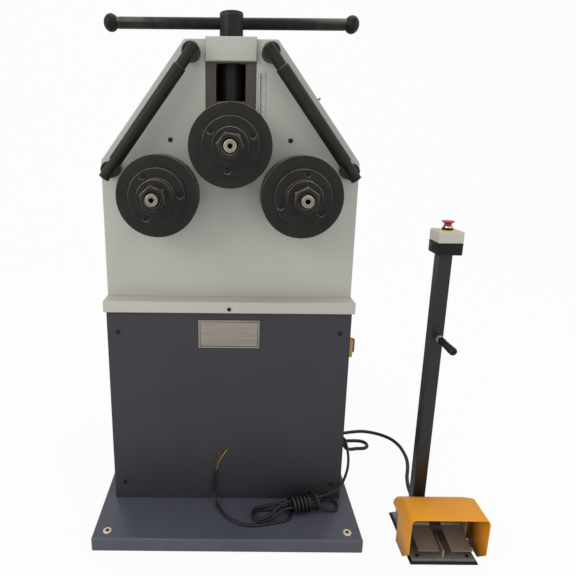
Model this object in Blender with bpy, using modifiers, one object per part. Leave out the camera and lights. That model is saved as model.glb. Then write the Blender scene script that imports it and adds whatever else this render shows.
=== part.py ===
"""Ring roller: a floor-standing bender with three grooved rollers, and its foot switch on a pole.

Metres, +Z up. X runs to the viewer's right, the front faces -Y, and the origin lies on the
floor under the middle of the machine. Blender 4.5: blender --background --python part.py
"""

import math

import bmesh
import bpy
from mathutils import Matrix, Vector

# Fits and cuts
SEAT = 0.0003
RUNNING = 0.0004
OVERRUN = 0.002
SOFT_EDGE = 0.0015
HALF_RIGHT = math.radians(45)
THIRD_RIGHT = math.radians(30)

# Base tray
BASE_W = 0.656
BASE_FRONT_LEDGE = 0.1455
BASE_REAR_LEDGE = 0.028
BASE_H = 0.036
BASE_SHEET = 0.003
STIFFENER_W = 0.060
ANCHOR_INSET_X = 0.034
ANCHOR_INSET_Y = 0.026
ANCHOR_WASHER_D = 0.0185
ANCHOR_WASHER_T = 0.0016

# Lower cabinet
HOUSING_W = 0.604
CABINET_INSET = 0.002
SKIRT_OVERHANG = 0.003
CABINET_W = HOUSING_W - 2 * CABINET_INSET
CABINET_FRONT = -0.1905
CABINET_BACK = 0.308
SHEET = 0.002
WINDOW_MARGIN = 0.024
PANEL_T = 0.0015
PANEL_SIDE_REVEAL = 0.0035
PANEL_FOOT_REVEAL = 0.012
NAME_PLATE_W = 0.150
NAME_PLATE_H = 0.072
NAME_PLATE_T = 0.0012
NAME_PLATE_Z = 0.506

# Skirt that caps the cabinet
SKIRT_W = HOUSING_W + 2 * SKIRT_OVERHANG
SKIRT_FRONT = -0.200
SKIRT_BACK = 0.316
SKIRT_TOP = 0.591
SKIRT_LIP = 0.029
DRIVE_HOLE_W = 0.220
DRIVE_HOLE_FRONT = 0.085
DRIVE_HOLE_BACK = 0.265

# Roller housing
HOUSING_FRONT = -0.156
HOUSING_BACK = 0.257
HOUSING_TOP = 1.186
HOUSING_TOP_W = 0.209
SHOULDER_Z = 0.920
SHOULDER_R = 0.015
PLATE_T = 0.015
PLATE_EDGE = 0.008
SHELL_T = 0.003
COVER_T = 0.002
SLOT_W = 0.115
SLOT_FLOOR = 0.870

# Head block, its bronze nut, and the gibs that guide the slide
HEAD_FRONT = -0.166
HEAD_BACK = -0.056
HEAD_FLOOR = 1.139
HEAD_TOP = 1.190
SCREW_Y = -0.100
SCREW_D = 0.056
NUT_WALL = 0.0055
GIB_W = 0.0237
GIB_FRONT = -0.1535
GIB_BACK = -0.118

# Slide
SLIDE_FLOOR = 0.880
SLIDE_TOP = 1.055
SLIDE_BODY_W = 0.100
SLIDE_BACK = 0.020
SCREW_POCKET = 0.015
SLIDE_TRAVEL = 0.070

# T-handle on the screw
HUB_D = 0.0545
HUB_H = 0.0635
BAR_D = 0.026
BAR_Z = 1.229
BAR_TIP_X = 0.293
KNOB_D = 0.040
KNOB_NECK_SHARE = 0.85
KNOB_L = 0.034
SPIGOT_D = 0.024
SPIGOT_GAP = 0.004
SPIGOT_TOP = BAR_Z - BAR_D / 2 - SPIGOT_GAP

# Rollers: two driven ones below, one on the slide
LOWER_X = 0.158
LOWER_Z = 0.849
TOP_Z = 0.957
DISC_D = 0.180
CORE_D = 0.120
DISC_T = 0.014
GROOVE_W = 0.023
ROLLER_BACK = -0.208
DISC_EDGE = 0.002
FLANGE_D = 0.124
FLANGE_T = 0.011
FLANGE_HUB_D = 0.078
FLANGE_HUB_T = 0.028
FLANGE_SCREW_PCD = 0.104
FLANGE_SCREW_D = 0.014
FLANGE_SCREW_DEPTH = 0.006
FLANGE_TURNS = {"left": 124.0, "right": 81.0, "top": 144.0}
SHAFT_D = 0.050
SHAFT_END_D = 0.033
SHAFT_TIP_D = 0.028
SHAFT_COLLAR_D = 0.062
SHAFT_FRONT = -0.340
CENTRE_HOLE_D = 0.010
NUT_FLATS = 0.050
NUT_T = 0.028
NUT_TURNS = {"left": 42.0, "right": 25.0, "top": 52.0}
COVER_RING_D = 0.116
COVER_RING_T = 0.022
SLIDE_COVER_D = 0.096
SLIDE_SPIGOT_D = 0.064
POINTER_D = 0.0044
POINTER_X = 0.064
POINTER_TOP = 1.115
POINTER_FOOT = 0.985

# Gears, their rear bearing plate and the drive
GEAR_MODULE = 0.006
GEAR_TEETH = 40
PINION_TEETH = 20
GEAR_BACKLASH = 0.0012
GEAR_FRONT = 0.050
GEAR_W = 0.028
PINION_SHAFT_D = 0.040
REAR_PLATE_FRONT = 0.095
REAR_PLATE_T = 0.025
REAR_PLATE_TOP = 0.905
GEARBOX_W = 0.190
GEARBOX_D = 0.128
GEARBOX_H = 0.200
MOTOR_D = 0.116
MOTOR_FLANGE_D = 0.126
MOTOR_FLANGE_T = 0.012
MOTOR_L = 0.275

# Guard rods along the housing's two slopes
ROD_D = 0.025
ROD_Y = -0.191
BOSS_D = 0.039
ROD_UPPER = (0.087, 1.156)
ROD_LOWER = (0.2745, 0.902)
ROD_UPPER_END = 0.016
ROD_LOWER_END = 0.024
SLEEVE_D = 0.030
SLEEVE_UPPER_GAP = 0.040
SLEEVE_LOWER_GAP = 0.022

# Scale, main switch and cable entry
SCALE_W = 0.010
SCALE_X = 0.073
SCALE_FOOT = 0.960
SCALE_TOP = 1.115
SCALE_T = 0.0012
SWITCH_Y = -0.157
SWITCH_Z = 0.4655
SWITCH_W = 0.052
SWITCH_H = 0.044
SWITCH_T = 0.0087
KNOB_RING_D = 0.038
KNOB_RING_T = 0.0045
KNOB_BAR_W = 0.012
KNOB_BAR_T = 0.005
GLAND_PLATE_FRONT = -0.052
GLAND_PLATE_BACK = 0.080
GLAND_PLATE_H = 0.060
GLAND_PLATE_T = 0.0018
GLAND_D = 0.022
GLAND_L = 0.0162
MAINS_ENTRY = (-0.018, 0.116)
CONTROL_ENTRY = (0.045, 0.112)

# Foot switch
FOOT_X = 0.5125
FOOT_FRONT = -0.367
FOOT_BACK = -0.200
FOOT_W = 0.159
MAT_T = 0.004
FOOT_INSET = 0.005
FOOT_PLATE_T = 0.006
DIVIDER_T = 0.005
DIVIDER_H = 0.020
DIVIDER_FRONT = -0.357
DIVIDER_BACK = -0.275
FOOT_BOX_W = 0.145
FOOT_BOX_FRONT = -0.268
FOOT_BOX_BACK = -0.2262
EAR_T = 0.004
EAR_FRONT = -0.312
CABLE_GROMMET_D = 0.019
CABLE_GROMMET_L = 0.013
CABLE_GROMMET_Z = 0.030
GUARD_OFFSET_X = -0.0025
GUARD_X = FOOT_X + GUARD_OFFSET_X
GUARD_W = 0.181
GUARD_FRONT = -0.381
GUARD_BACK = -0.298
GUARD_TOP = 0.1345
GUARD_FOOT = 0.004
GUARD_SHEET = 0.002
GUARD_R = 0.012
GUARD_NOSE_Z = 0.040
GUARD_NOSE_L = 0.034
GUARD_FOLD = -0.306
GUARD_REAR_TOP = (-0.263, 0.104)
GUARD_REAR_FOOT = (-0.2575, 0.0805)
FOOT_BOX_TOP = 0.0745
BOX_LIP_T = 0.0035
BOX_LIP_TOP = GUARD_REAR_TOP[1] - 2 * GUARD_SHEET
TAB_T = 0.003
TAB_Y = -0.301
TAB_FOOT = 0.0565
PEDAL_OFFSETS = (-0.036, 0.042)
PEDAL_W = 0.050
PEDAL_T = 0.0025
PEDAL_FRONT = -0.360
PEDAL_FRONT_Z = 0.031
AXLE_D = 0.008
AXLE_Y = -0.286
AXLE_Z = 0.046
PEDAL_HUB_D = 0.014

# Pole, grip, and the button box on top
POLE_OFFSET_X = -0.0305
POLE_X = FOOT_X + POLE_OFFSET_X
POLE_Y = -0.2465
POLE_W = 0.030
POLE_TOP = 0.7266
POLE_EDGE = 0.002
GRIP_OFFSET_X = 0.003
GRIP_X = POLE_X + GRIP_OFFSET_X
GRIP_Z = 0.529
GRIP_D = 0.018
GRIP_L = 0.068
GRIP_STUD_D = 0.010
GRIP_STUD_L = 0.014
BOX_W = 0.055
BOX_OFFSET_X = 0.0015
BOX_X = POLE_X + BOX_OFFSET_X
BOX_Y = -0.2485
BOX_BASE_H = 0.0267
BOX_COVER_H = 0.0257
BOX_JOINT_Z = POLE_TOP + BOX_BASE_H
BOX_TOP = BOX_JOINT_Z + BOX_COVER_H
BOX_EDGE = 0.002
BUTTON_PLATE_D = 0.042
BUTTON_PLATE_T = 0.0012
COLLAR_D = 0.023
COLLAR_T = 0.0085
COLLAR_BORE = 0.018
BUTTON_STEM_D = 0.016
BUTTON_HEAD_D = 0.028
BUTTON_RISE = 0.0212
BUTTON_LIP = 0.0045
BUTTON_HEAD_TOP = BOX_TOP + BUTTON_RISE
BUTTON_FLARE_Z = BUTTON_HEAD_TOP - BUTTON_LIP

# Cords
CONTROL_D = 0.0106
MAINS_D = 0.007
FLOOR_AIR = 0.0003
ROUTE_SPACING_DIAMETERS = 2
CONTROL_ROUTE = (
    (0.3186, 0.0450, 0.1120), (0.3300, 0.0450, 0.1115), (0.3430, 0.0472, 0.1040),
    (0.3530, 0.0520, 0.0850), (0.3590, 0.0580, 0.0600), (0.3660, 0.0640, 0.0340),
    (0.3780, 0.0720, 0.0140), (0.3960, 0.0800, 0.0062), (0.4150, 0.0850, 0.0056),
    (0.4310, 0.0852, 0.0056), (0.4460, 0.0910, 0.0056), (0.4530, 0.1063, 0.0056),
    (0.4460, 0.1216, 0.0056), (0.4310, 0.1276, 0.0056), (0.4120, 0.1282, 0.0056),
    (0.3920, 0.1276, 0.0056), (0.3720, 0.1276, 0.0056), (0.3570, 0.1336, 0.0056),
    (0.3508, 0.1490, 0.0056), (0.3570, 0.1644, 0.0056), (0.3720, 0.1706, 0.0056),
    (0.3940, 0.1740, 0.0056), (0.4230, 0.1805, 0.0056), (0.4560, 0.1845, 0.0056),
    (0.4880, 0.1775, 0.0056), (0.5180, 0.1620, 0.0056), (0.5430, 0.1380, 0.0056),
    (0.5565, 0.1050, 0.0056), (0.5600, 0.0700, 0.0056), (0.5585, 0.0350, 0.0056),
    (0.5510, 0.0020, 0.0056), (0.5405, -0.0280, 0.0056), (0.5295, -0.0560, 0.0056),
    (0.5215, -0.0860, 0.0056), (0.5167, -0.1140, 0.0060), (0.5141, -0.1400, 0.0085),
    (0.5128, -0.1640, 0.0165), (0.5125, -0.1840, 0.0258), (0.5125, -0.1990, 0.0295),
    (0.5125, -0.2125, 0.0300),
)
LEAD_ROUTE = (
    (0.3186, -0.0180, 0.1160), (0.3260, -0.0180, 0.1160), (0.3355, -0.0225, 0.1175),
    (0.3410, -0.0380, 0.1195), (0.3412, -0.0600, 0.1205), (0.3385, -0.0900, 0.1190),
    (0.3335, -0.1250, 0.1160), (0.3255, -0.1550, 0.1070), (0.3135, -0.1790, 0.0955),
    (0.2995, -0.1980, 0.0855), (0.2820, -0.2105, 0.0785), (0.2640, -0.2180, 0.0748),
)
TAIL_ROUTE = (
    (0.0714, -0.2922, 0.0400), (0.0500, -0.2915, 0.0400), (0.0280, -0.2855, 0.0400),
    (0.0065, -0.2725, 0.0400), (-0.0110, -0.2540, 0.0400), (-0.0232, -0.2330, 0.0408),
    (-0.0305, -0.2165, 0.0450), (-0.0345, -0.2055, 0.0560), (-0.0362, -0.2005, 0.0740),
    (-0.0368, -0.1985, 0.0950), (-0.0340, -0.1970, 0.1130), (-0.0300, -0.1965, 0.1260),
)
WIRE_D = 0.0024
WIRE_ROUTES = (
    ((-0.0300, -0.1965, 0.1225), (-0.0285, -0.1965, 0.1330), (-0.0245, -0.1960, 0.1480),
     (-0.0170, -0.1955, 0.1640), (-0.0075, -0.1955, 0.1800), (0.0030, -0.1955, 0.1930)),
    ((-0.0303, -0.1965, 0.1225), (-0.0312, -0.1963, 0.1340), (-0.0305, -0.1957, 0.1500),
     (-0.0280, -0.1955, 0.1660), (-0.0230, -0.1957, 0.1815)),
    ((-0.0297, -0.1968, 0.1225), (-0.0296, -0.1975, 0.1340), (-0.0275, -0.1985, 0.1500),
     (-0.0245, -0.1990, 0.1640), (-0.0195, -0.1990, 0.1760)),
)

# Hank of mains cord on the base, in a frame of its own: u along it, v to the front, w up
HANK_ORIGIN = (0.182, -0.238, BASE_H)
HANK_SLANT = math.radians(192.6)
HANK_WAIST_HALF = 0.034
HANK_EYE_R = 0.021
HANK_LEFT_EYE_U = 0.100
HANK_RIGHT_EYE_U = -0.087
HANK_REST = 0.0005
HANK_LAYER = 0.0080
WRAP_R = 0.021
WRAP_LOOSE = 0.004
WRAP_PITCH = 0.0100
WRAP_TURNS = 6
WRAP_LOOSE_U = -0.0480
HANK_CROSSING = ((-0.0270, -0.0010, 0.0150), (-0.0380, 0.0004, 0.0118), (-0.0448, 0.0045, 0.0080))
WRAP_POINTS = 24
STRAND_RISE = 0.009
STRAND_DROP = 0.0095
STRAND_SIDE = 0.011
STRAND_LOW = 0.001
EYE_STEPS = 8
LEG_STEPS = 4
HANK_JOIN_U = 0.080
HANK_START_U = -0.058
TAIL_V = 0.0295

# Name: colour, roughness, metallic
FINISHES = {
    "grey_enamel": ((0.47, 0.47, 0.46), 0.45, 0.0),
    "dark_enamel": ((0.047, 0.047, 0.055), 0.40, 0.0),
    "base_enamel": ((0.060, 0.063, 0.078), 0.40, 0.0),
    "pole_enamel": ((0.050, 0.052, 0.068), 0.40, 0.0),
    "orange_enamel": ((0.70, 0.30, 0.03), 0.40, 0.0),
    "yellow_plastic": ((0.85, 0.66, 0.04), 0.40, 0.0),
    "black_oxide": ((0.026, 0.026, 0.028), 0.38, 0.6),
    "bright_steel": ((0.56, 0.55, 0.53), 0.28, 1.0),
    "oiled_steel": ((0.13, 0.11, 0.09), 0.42, 0.9),
    "cast_iron": ((0.16, 0.16, 0.17), 0.60, 0.7),
    "bronze": ((0.46, 0.29, 0.11), 0.35, 1.0),
    "gearbox_paint": ((0.10, 0.13, 0.17), 0.50, 0.0),
    "black_rubber": ((0.016, 0.016, 0.016), 0.75, 0.0),
    "black_plastic": ((0.020, 0.020, 0.022), 0.40, 0.0),
    "cover_plastic": ((0.62, 0.60, 0.53), 0.45, 0.0),
    "red_plastic": ((0.55, 0.02, 0.02), 0.35, 0.0),
    "grey_plate": ((0.22, 0.21, 0.20), 0.45, 0.3),
}

TO_AXIS = {
    "X": Matrix.Rotation(math.pi / 2, 4, "Y"),
    "Y": Matrix.Rotation(-math.pi / 2, 4, "X"),
    "Z": Matrix.Identity(4),
}
FACING_FRONT = Matrix.Rotation(math.pi / 2, 4, "X")
SHARP_ANGLE = math.radians(32)

PARTS = None
CUTTERS = None


def clear_scene():
    """Empties the scene and makes the two collections."""
    global PARTS, CUTTERS
    for obj in list(bpy.data.objects):
        bpy.data.objects.remove(obj, do_unlink=True)
    PARTS = bpy.data.collections.new("ring_roller")
    CUTTERS = bpy.data.collections.new("cutters")
    for collection in (PARTS, CUTTERS):
        bpy.context.scene.collection.children.link(collection)


def finish_material(name):
    """The Principled material of one finish, made the first time it is asked for."""
    material = bpy.data.materials.get(name)
    if material:
        return material
    colour, roughness, metallic = FINISHES[name]
    material = bpy.data.materials.new(name)
    material.use_nodes = True
    shader = material.node_tree.nodes["Principled BSDF"]
    shader.inputs["Base Color"].default_value = (*colour, 1.0)
    shader.inputs["Roughness"].default_value = roughness
    shader.inputs["Metallic"].default_value = metallic
    return material


def mesh_object(bm, place=None):
    """A loose object from bmesh data, moved by a matrix and smooth except at its sharp edges."""
    if place is not None:
        bm.transform(place)
    if bm.calc_volume(signed=True) < 0:
        bmesh.ops.reverse_faces(bm, faces=bm.faces)
    mesh = bpy.data.meshes.new("shape")
    bm.to_mesh(mesh)
    bm.free()
    mesh.shade_smooth()
    mesh.set_sharp_from_angle(angle=SHARP_ANGLE)
    obj = bpy.data.objects.new("shape", mesh)
    CUTTERS.objects.link(obj)
    return obj


def baked(obj, place=None, weld=0.0):
    """The object's evaluated shape as a plain mesh object. The first object is removed."""
    bpy.context.view_layer.update()
    graph = bpy.context.evaluated_depsgraph_get()
    mesh = bpy.data.meshes.new_from_object(obj.evaluated_get(graph))
    bm = bmesh.new()
    bm.from_mesh(mesh)
    bm.transform(obj.matrix_world)
    if weld:
        bmesh.ops.remove_doubles(bm, verts=bm.verts, dist=weld)
    bpy.data.objects.remove(obj, do_unlink=True)
    bpy.data.meshes.remove(mesh)
    return mesh_object(bm, place)


def block(low, high, edge=0.0, steps=1):
    """A box between two corners, its edges rounded by a Bevel."""
    size = Vector(high) - Vector(low)
    middle = (Vector(high) + Vector(low)) / 2
    bm = bmesh.new()
    bmesh.ops.create_cube(bm, size=1.0)
    bm.transform(Matrix.Translation(middle) @ Matrix.Diagonal((*size, 1.0)))
    obj = mesh_object(bm)
    if not edge:
        return obj
    bevel = obj.modifiers.new("edges", "BEVEL")
    bevel.width = edge
    bevel.segments = steps
    return baked(obj)


def bar(diameter, start, end, axis, at, sides=24, flats=False, corner=-90.0):
    """A round bar along an axis from one station to another; at holds its other two coordinates.
    On a bar along Y, corner is where one corner stands, in degrees from +X."""
    bm = bmesh.new()
    radius = diameter / 2
    if flats:
        radius = radius / math.cos(math.pi / sides)
    bmesh.ops.create_cone(bm, cap_ends=True, segments=sides, radius1=radius, radius2=radius,
                          depth=end - start)
    middle = (start + end) / 2
    centre = {"X": (middle, *at), "Y": (at[0], middle, at[1]), "Z": (*at, middle)}[axis]
    spin = Matrix.Rotation(-math.radians(corner + 90), 4, "Z")
    return mesh_object(bm, Matrix.Translation(centre) @ TO_AXIS[axis] @ spin)


def turned(profile, axis, at, steps=32):
    """A profile of (radius, station) pairs turned about an axis. Ends at radius 0 make it solid."""
    area = 0.0
    for first, second in zip(profile, profile[1:] + profile[:1]):
        area += first[0] * second[1] - second[0] * first[1]
    points = list(reversed(profile)) if area > 0 else list(profile)
    solid = points[0][0] == 0 or points[-1][0] == 0
    bm = bmesh.new()
    verts = [bm.verts.new((radius, 0, station)) for radius, station in points]
    pairs = list(zip(verts, verts[1:]))
    if not solid:
        pairs.append((verts[-1], verts[0]))
    for pair in pairs:
        bm.edges.new(pair)
    mesh = bpy.data.meshes.new("profile")
    bm.to_mesh(mesh)
    bm.free()
    obj = bpy.data.objects.new("profile", mesh)
    CUTTERS.objects.link(obj)
    screw = obj.modifiers.new("turn", "SCREW")
    screw.steps = steps
    screw.render_steps = steps
    screw.use_merge_vertices = True
    screw.merge_threshold = 0.00001
    centre = {"X": (0, *at), "Y": (at[0], 0, at[1]), "Z": (*at, 0)}[axis]
    return baked(obj, Matrix.Translation(centre) @ TO_AXIS[axis], weld=0.00001)


def ring(outer, inner, start, end, axis, at, steps=32):
    """A tube of two diameters between two stations."""
    profile = [(outer / 2, start), (outer / 2, end), (inner / 2, end), (inner / 2, start)]
    return turned(profile, axis, at, steps)


def fillet(corners, radii, steps=4):
    """The corners of a closed outline with each one rounded by an arc of its own radius."""
    points = []
    count = len(corners)
    for index, corner in enumerate(corners):
        radius = radii[index]
        here = Vector(corner)
        if not radius:
            points.append(here)
            continue
        before = (Vector(corners[index - 1]) - here).normalized()
        after = (Vector(corners[(index + 1) % count]) - here).normalized()
        half = before.angle(after) / 2
        reach = radius / math.tan(half)
        centre = here + (before + after).normalized() * (radius / math.sin(half))
        start = here + before * reach - centre
        sweep = start.angle_signed(here + after * reach - centre)
        for step in range(steps + 1):
            turn = Matrix.Rotation(-sweep * step / steps, 2)
            points.append(centre + turn @ start)
    return points


def outline_plate(points, near, far, frame=FACING_FRONT, edge=0.0):
    """A flat outline given a thickness. Facing front, its points are (x, z), and near and far are y."""
    curve = bpy.data.curves.new("outline", "CURVE")
    curve.dimensions = "2D"
    curve.fill_mode = "BOTH"
    curve.extrude = abs(far - near) / 2
    spline = curve.splines.new("POLY")
    spline.points.add(len(points) - 1)
    for slot, point in zip(spline.points, points):
        slot.co = (point[0], point[1], 0, 1)
    spline.use_cyclic_u = True
    obj = bpy.data.objects.new("outline", curve)
    CUTTERS.objects.link(obj)
    normal = frame.to_3x3() @ Vector((0, 0, 1))
    middle = normal * ((near + far) / 2 * (normal.x + normal.y + normal.z))
    plate = baked(obj, Matrix.Translation(middle) @ frame, weld=0.00001)
    if not edge:
        return plate
    bevel = plate.modifiers.new("edges", "BEVEL")
    bevel.width = edge
    bevel.segments = 2
    bevel.angle_limit = math.radians(50)
    return baked(plate)


def combine(obj, others, operation):
    """Adds a live Boolean for each of the other objects, which become hidden cutters."""
    for other in others:
        boolean = obj.modifiers.new(operation.lower(), "BOOLEAN")
        boolean.operation = operation
        boolean.object = other
        other.hide_render = True
        other.display_type = "WIRE"
    return obj


def cut(obj, *others):
    return combine(obj, others, "DIFFERENCE")


def fuse(obj, *others):
    return combine(obj, others, "UNION")


def part(name, obj, finish):
    """Names a finished shape, gives it its material and puts it among the parts."""
    obj.name = name
    obj.data.name = name
    for modifier in obj.modifiers:
        if modifier.type == "BOOLEAN":
            modifier.object.name = f"{name}_cutter"
    obj.data.materials.clear()
    obj.data.materials.append(finish_material(finish))
    CUTTERS.objects.unlink(obj)
    PARTS.objects.link(obj)
    return obj


def smooth_route(points, spacing):
    """Points evenly spaced along a smooth curve through the given ones, with half steps at its ends,
    so that a tube meets what it comes from squarely."""
    nodes = [Vector(point) for point in points]
    padded = [nodes[0] * 2 - nodes[1], *nodes, nodes[-1] * 2 - nodes[-2]]
    fine = []
    for before, start, end, after in zip(padded, padded[1:], padded[2:], padded[3:]):
        for step in range(16):
            t = step / 16
            fine.append(0.5 * (2 * start + (end - before) * t
                               + (2 * before - 5 * start + 4 * end - after) * t ** 2
                               + (3 * start - before - 3 * end + after) * t ** 3))
    fine.append(nodes[-1])
    lengths = [0.0]
    for first, second in zip(fine, fine[1:]):
        lengths.append(lengths[-1] + (second - first).length)
    count = max(2, round(lengths[-1] / spacing))
    route = []
    index = 0
    for step in (0, 0.5, *range(1, count), count - 0.5, count):
        goal = lengths[-1] * step / count
        while index < len(lengths) - 2 and lengths[index + 1] < goal:
            index += 1
        share = (goal - lengths[index]) / (lengths[index + 1] - lengths[index])
        route.append(fine[index].lerp(fine[index + 1], share))
    return route


def tube(route, diameter, resolution=2):
    """A round tube along a route, as a poly curve with filled caps."""
    curve = bpy.data.curves.new("tube", "CURVE")
    curve.dimensions = "3D"
    curve.bevel_depth = diameter / 2
    curve.bevel_resolution = resolution
    curve.use_fill_caps = True
    spline = curve.splines.new("POLY")
    spline.points.add(len(route) - 1)
    for slot, point in zip(spline.points, route):
        slot.co = (*point, 1)
    obj = bpy.data.objects.new("tube", curve)
    CUTTERS.objects.link(obj)
    return obj


def tube_mesh(route, diameter, resolution=2):
    return baked(tube(route, diameter, resolution), weld=0.00001)


def base_tray():
    half_w, half_bar = BASE_W / 2, STIFFENER_W / 2
    front, back = CABINET_FRONT - BASE_FRONT_LEDGE, CABINET_BACK + BASE_REAR_LEDGE
    tray = block((-half_w, front, 0), (half_w, back, BASE_H), SOFT_EDGE)
    hollow = block((BASE_SHEET - half_w, front + BASE_SHEET, -OVERRUN),
                   (half_w - BASE_SHEET, back - BASE_SHEET, BASE_H - BASE_SHEET))
    cut(tray, hollow)
    sunk = BASE_SHEET / 2
    fuse(tray, block((-half_bar, front + sunk, 0), (half_bar, back - sunk, BASE_H - sunk)),
         block((sunk - half_w, -half_bar, 0), (half_w - sunk, half_bar, BASE_H - sunk)))
    for side in (-1, 1):
        for row in (front + ANCHOR_INSET_Y, back - BASE_REAR_LEDGE / 2):
            spot = (side * (half_w - ANCHOR_INSET_X), row)
            fuse(tray, bar(ANCHOR_WASHER_D, BASE_H - sunk, BASE_H + ANCHOR_WASHER_T, "Z", spot,
                           sides=12))
    part("base_tray", tray, "base_enamel")


def cabinet():
    half = CABINET_W / 2
    floor = BASE_H + SEAT
    top = SKIRT_TOP - SHEET - SEAT
    shell = block((-half, CABINET_FRONT, floor), (half, CABINET_BACK, top), SOFT_EDGE)
    inside = block((SHEET - half, CABINET_FRONT + SHEET, floor - OVERRUN),
                   (half - SHEET, CABINET_BACK - SHEET, top - SHEET))
    window = block((WINDOW_MARGIN - half, CABINET_FRONT - OVERRUN, floor + WINDOW_MARGIN),
                   (half - WINDOW_MARGIN, CABINET_FRONT + SHEET + OVERRUN, top - WINDOW_MARGIN))
    cut(shell, inside, window, drive_hole(top - SHEET - OVERRUN, top + OVERRUN))
    part("cabinet_shell", shell, "dark_enamel")

    side = half - PANEL_SIDE_REVEAL
    back = CABINET_FRONT - SEAT
    face = back - PANEL_T
    panel = block((-side, face, floor + PANEL_FOOT_REVEAL), (side, back, top - PANEL_FOOT_REVEAL / 2))
    part("front_panel", panel, "dark_enamel")

    plate_back = face - SEAT
    low = (-NAME_PLATE_W / 2, plate_back - NAME_PLATE_T, NAME_PLATE_Z - NAME_PLATE_H / 2)
    high = (NAME_PLATE_W / 2, plate_back, NAME_PLATE_Z + NAME_PLATE_H / 2)
    part("name_plate", block(low, high), "bright_steel")


def drive_hole(low, high):
    """The cutter of the hole that the motor hangs through."""
    return block((-DRIVE_HOLE_W / 2, DRIVE_HOLE_FRONT, low), (DRIVE_HOLE_W / 2, DRIVE_HOLE_BACK, high))


def skirt():
    half = SKIRT_W / 2
    floor = SKIRT_TOP - SKIRT_LIP
    under = SKIRT_TOP - SHEET
    cap = block((-half, SKIRT_FRONT, floor), (half, SKIRT_BACK, SKIRT_TOP), SOFT_EDGE)
    inside = block((SHEET - half, SKIRT_FRONT + SHEET, floor - OVERRUN),
                   (half - SHEET, SKIRT_BACK - SHEET, under))
    cut(cap, inside, drive_hole(under - OVERRUN, SKIRT_TOP + OVERRUN))
    part("hood_skirt", cap, "grey_enamel")


def housing_outline(inset=0.0):
    """The housing's outline seen from the front, drawn in by an inset all round."""
    half, top_half = HOUSING_W / 2, HOUSING_TOP_W / 2
    floor = SKIRT_TOP + SEAT
    slope = Vector((half - top_half, HOUSING_TOP - SHOULDER_Z))
    lean = slope.y / slope.length
    drop = slope.x / slope.length
    shoulder = SHOULDER_Z + inset * (lean - 1) * slope.y / slope.x - inset * drop
    crest = top_half - inset * (1 - drop) * slope.x / slope.y - inset * lean
    corners = [(inset - half, floor + inset), (half - inset, floor + inset), (half - inset, shoulder),
               (crest, HOUSING_TOP - inset), (-crest, HOUSING_TOP - inset), (inset - half, shoulder)]
    bend = SHOULDER_R - inset
    small = bend / 2
    return fillet(corners, (0, 0, bend, small, small, bend))


def slot_cutter(front, back):
    return block((-SLOT_W / 2, front, SLOT_FLOOR), (SLOT_W / 2, back, HOUSING_TOP + OVERRUN))


def housing():
    plate_back = HOUSING_FRONT + PLATE_T
    plate = outline_plate(housing_outline(), HOUSING_FRONT, plate_back)
    round_front_rim(plate, HOUSING_FRONT)
    cut(plate, slot_cutter(HOUSING_FRONT - OVERRUN, plate_back + OVERRUN))
    bore = SHAFT_D + 2 * RUNNING
    for side in (-1, 1):
        cut(plate, bar(bore, HOUSING_FRONT - OVERRUN, plate_back + OVERRUN, "Y",
                       (side * LOWER_X, LOWER_Z), sides=40))
    part("housing_plate", plate, "grey_enamel")

    shell_front = plate_back + SEAT
    shell = outline_plate(housing_outline(), shell_front, HOUSING_BACK)
    inner = outline_plate(housing_outline(SHELL_T), shell_front - OVERRUN, HOUSING_BACK + OVERRUN)
    notch = block((-SLOT_W / 2, shell_front - OVERRUN, HOUSING_TOP - SHELL_T - OVERRUN),
                  (SLOT_W / 2, HEAD_BACK + SEAT, HOUSING_TOP + OVERRUN))
    floor = SKIRT_TOP + SEAT
    cut(shell, inner, notch, drive_hole(floor - OVERRUN, floor + SHELL_T + OVERRUN))
    part("housing_shell", shell, "grey_enamel")

    cover_front = HOUSING_BACK + SEAT
    cover = outline_plate(housing_outline(), cover_front, cover_front + COVER_T)
    part("back_cover", cover, "grey_enamel")


def round_front_rim(plate, front):
    """Rounds the rim of the plate's front face with a Bevel held to those edges by their weight."""
    mesh = plate.data
    weights = mesh.attributes.new("bevel_weight_edge", "FLOAT", "EDGE")
    for edge in mesh.edges:
        ends = [mesh.vertices[index].co.y for index in edge.vertices]
        on_front = all(abs(y - front) < SEAT for y in ends)
        faces = [p for p in mesh.polygons if set(edge.vertices) <= set(p.vertices)] if on_front else []
        rim = any(abs(p.normal.y) < 0.5 for p in faces)
        weights.data[edge.index].value = 1.0 if rim else 0.0
    bevel = plate.modifiers.new("rim", "BEVEL")
    bevel.limit_method = "WEIGHT"
    bevel.width = PLATE_EDGE
    bevel.segments = 2


def slide_ways():
    half = SLOT_W / 2 - SEAT
    head = block((-half, HEAD_FRONT, HEAD_FLOOR), (half, HEAD_BACK, HEAD_TOP), SOFT_EDGE)
    nut_d = SCREW_D + 2 * (RUNNING + NUT_WALL)
    bore_d = nut_d + 2 * RUNNING
    cut(head, bar(bore_d, HEAD_FLOOR - OVERRUN, HEAD_TOP + OVERRUN, "Z", (0, SCREW_Y), sides=40))
    part("head_block", head, "grey_enamel")
    bush = ring(nut_d, SCREW_D + 2 * RUNNING, HEAD_FLOOR + SEAT, HEAD_TOP - SEAT, "Z", (0, SCREW_Y))
    part("screw_nut", bush, "bronze")
    for side, name in ((-1, "gib_left"), (1, "gib_right")):
        inner, outer = side * (half - GIB_W), side * half
        gib = block((min(inner, outer), GIB_FRONT, SLOT_FLOOR + SEAT),
                    (max(inner, outer), GIB_BACK, HEAD_FLOOR - SEAT))
        part(name, gib, "oiled_steel")
    scale_back = HOUSING_FRONT - SEAT
    scale = block((SCALE_X - SCALE_W / 2, scale_back - SCALE_T, SCALE_FOOT),
                  (SCALE_X + SCALE_W / 2, scale_back, SCALE_TOP))
    part("scale_plate", scale, "bright_steel")


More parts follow.
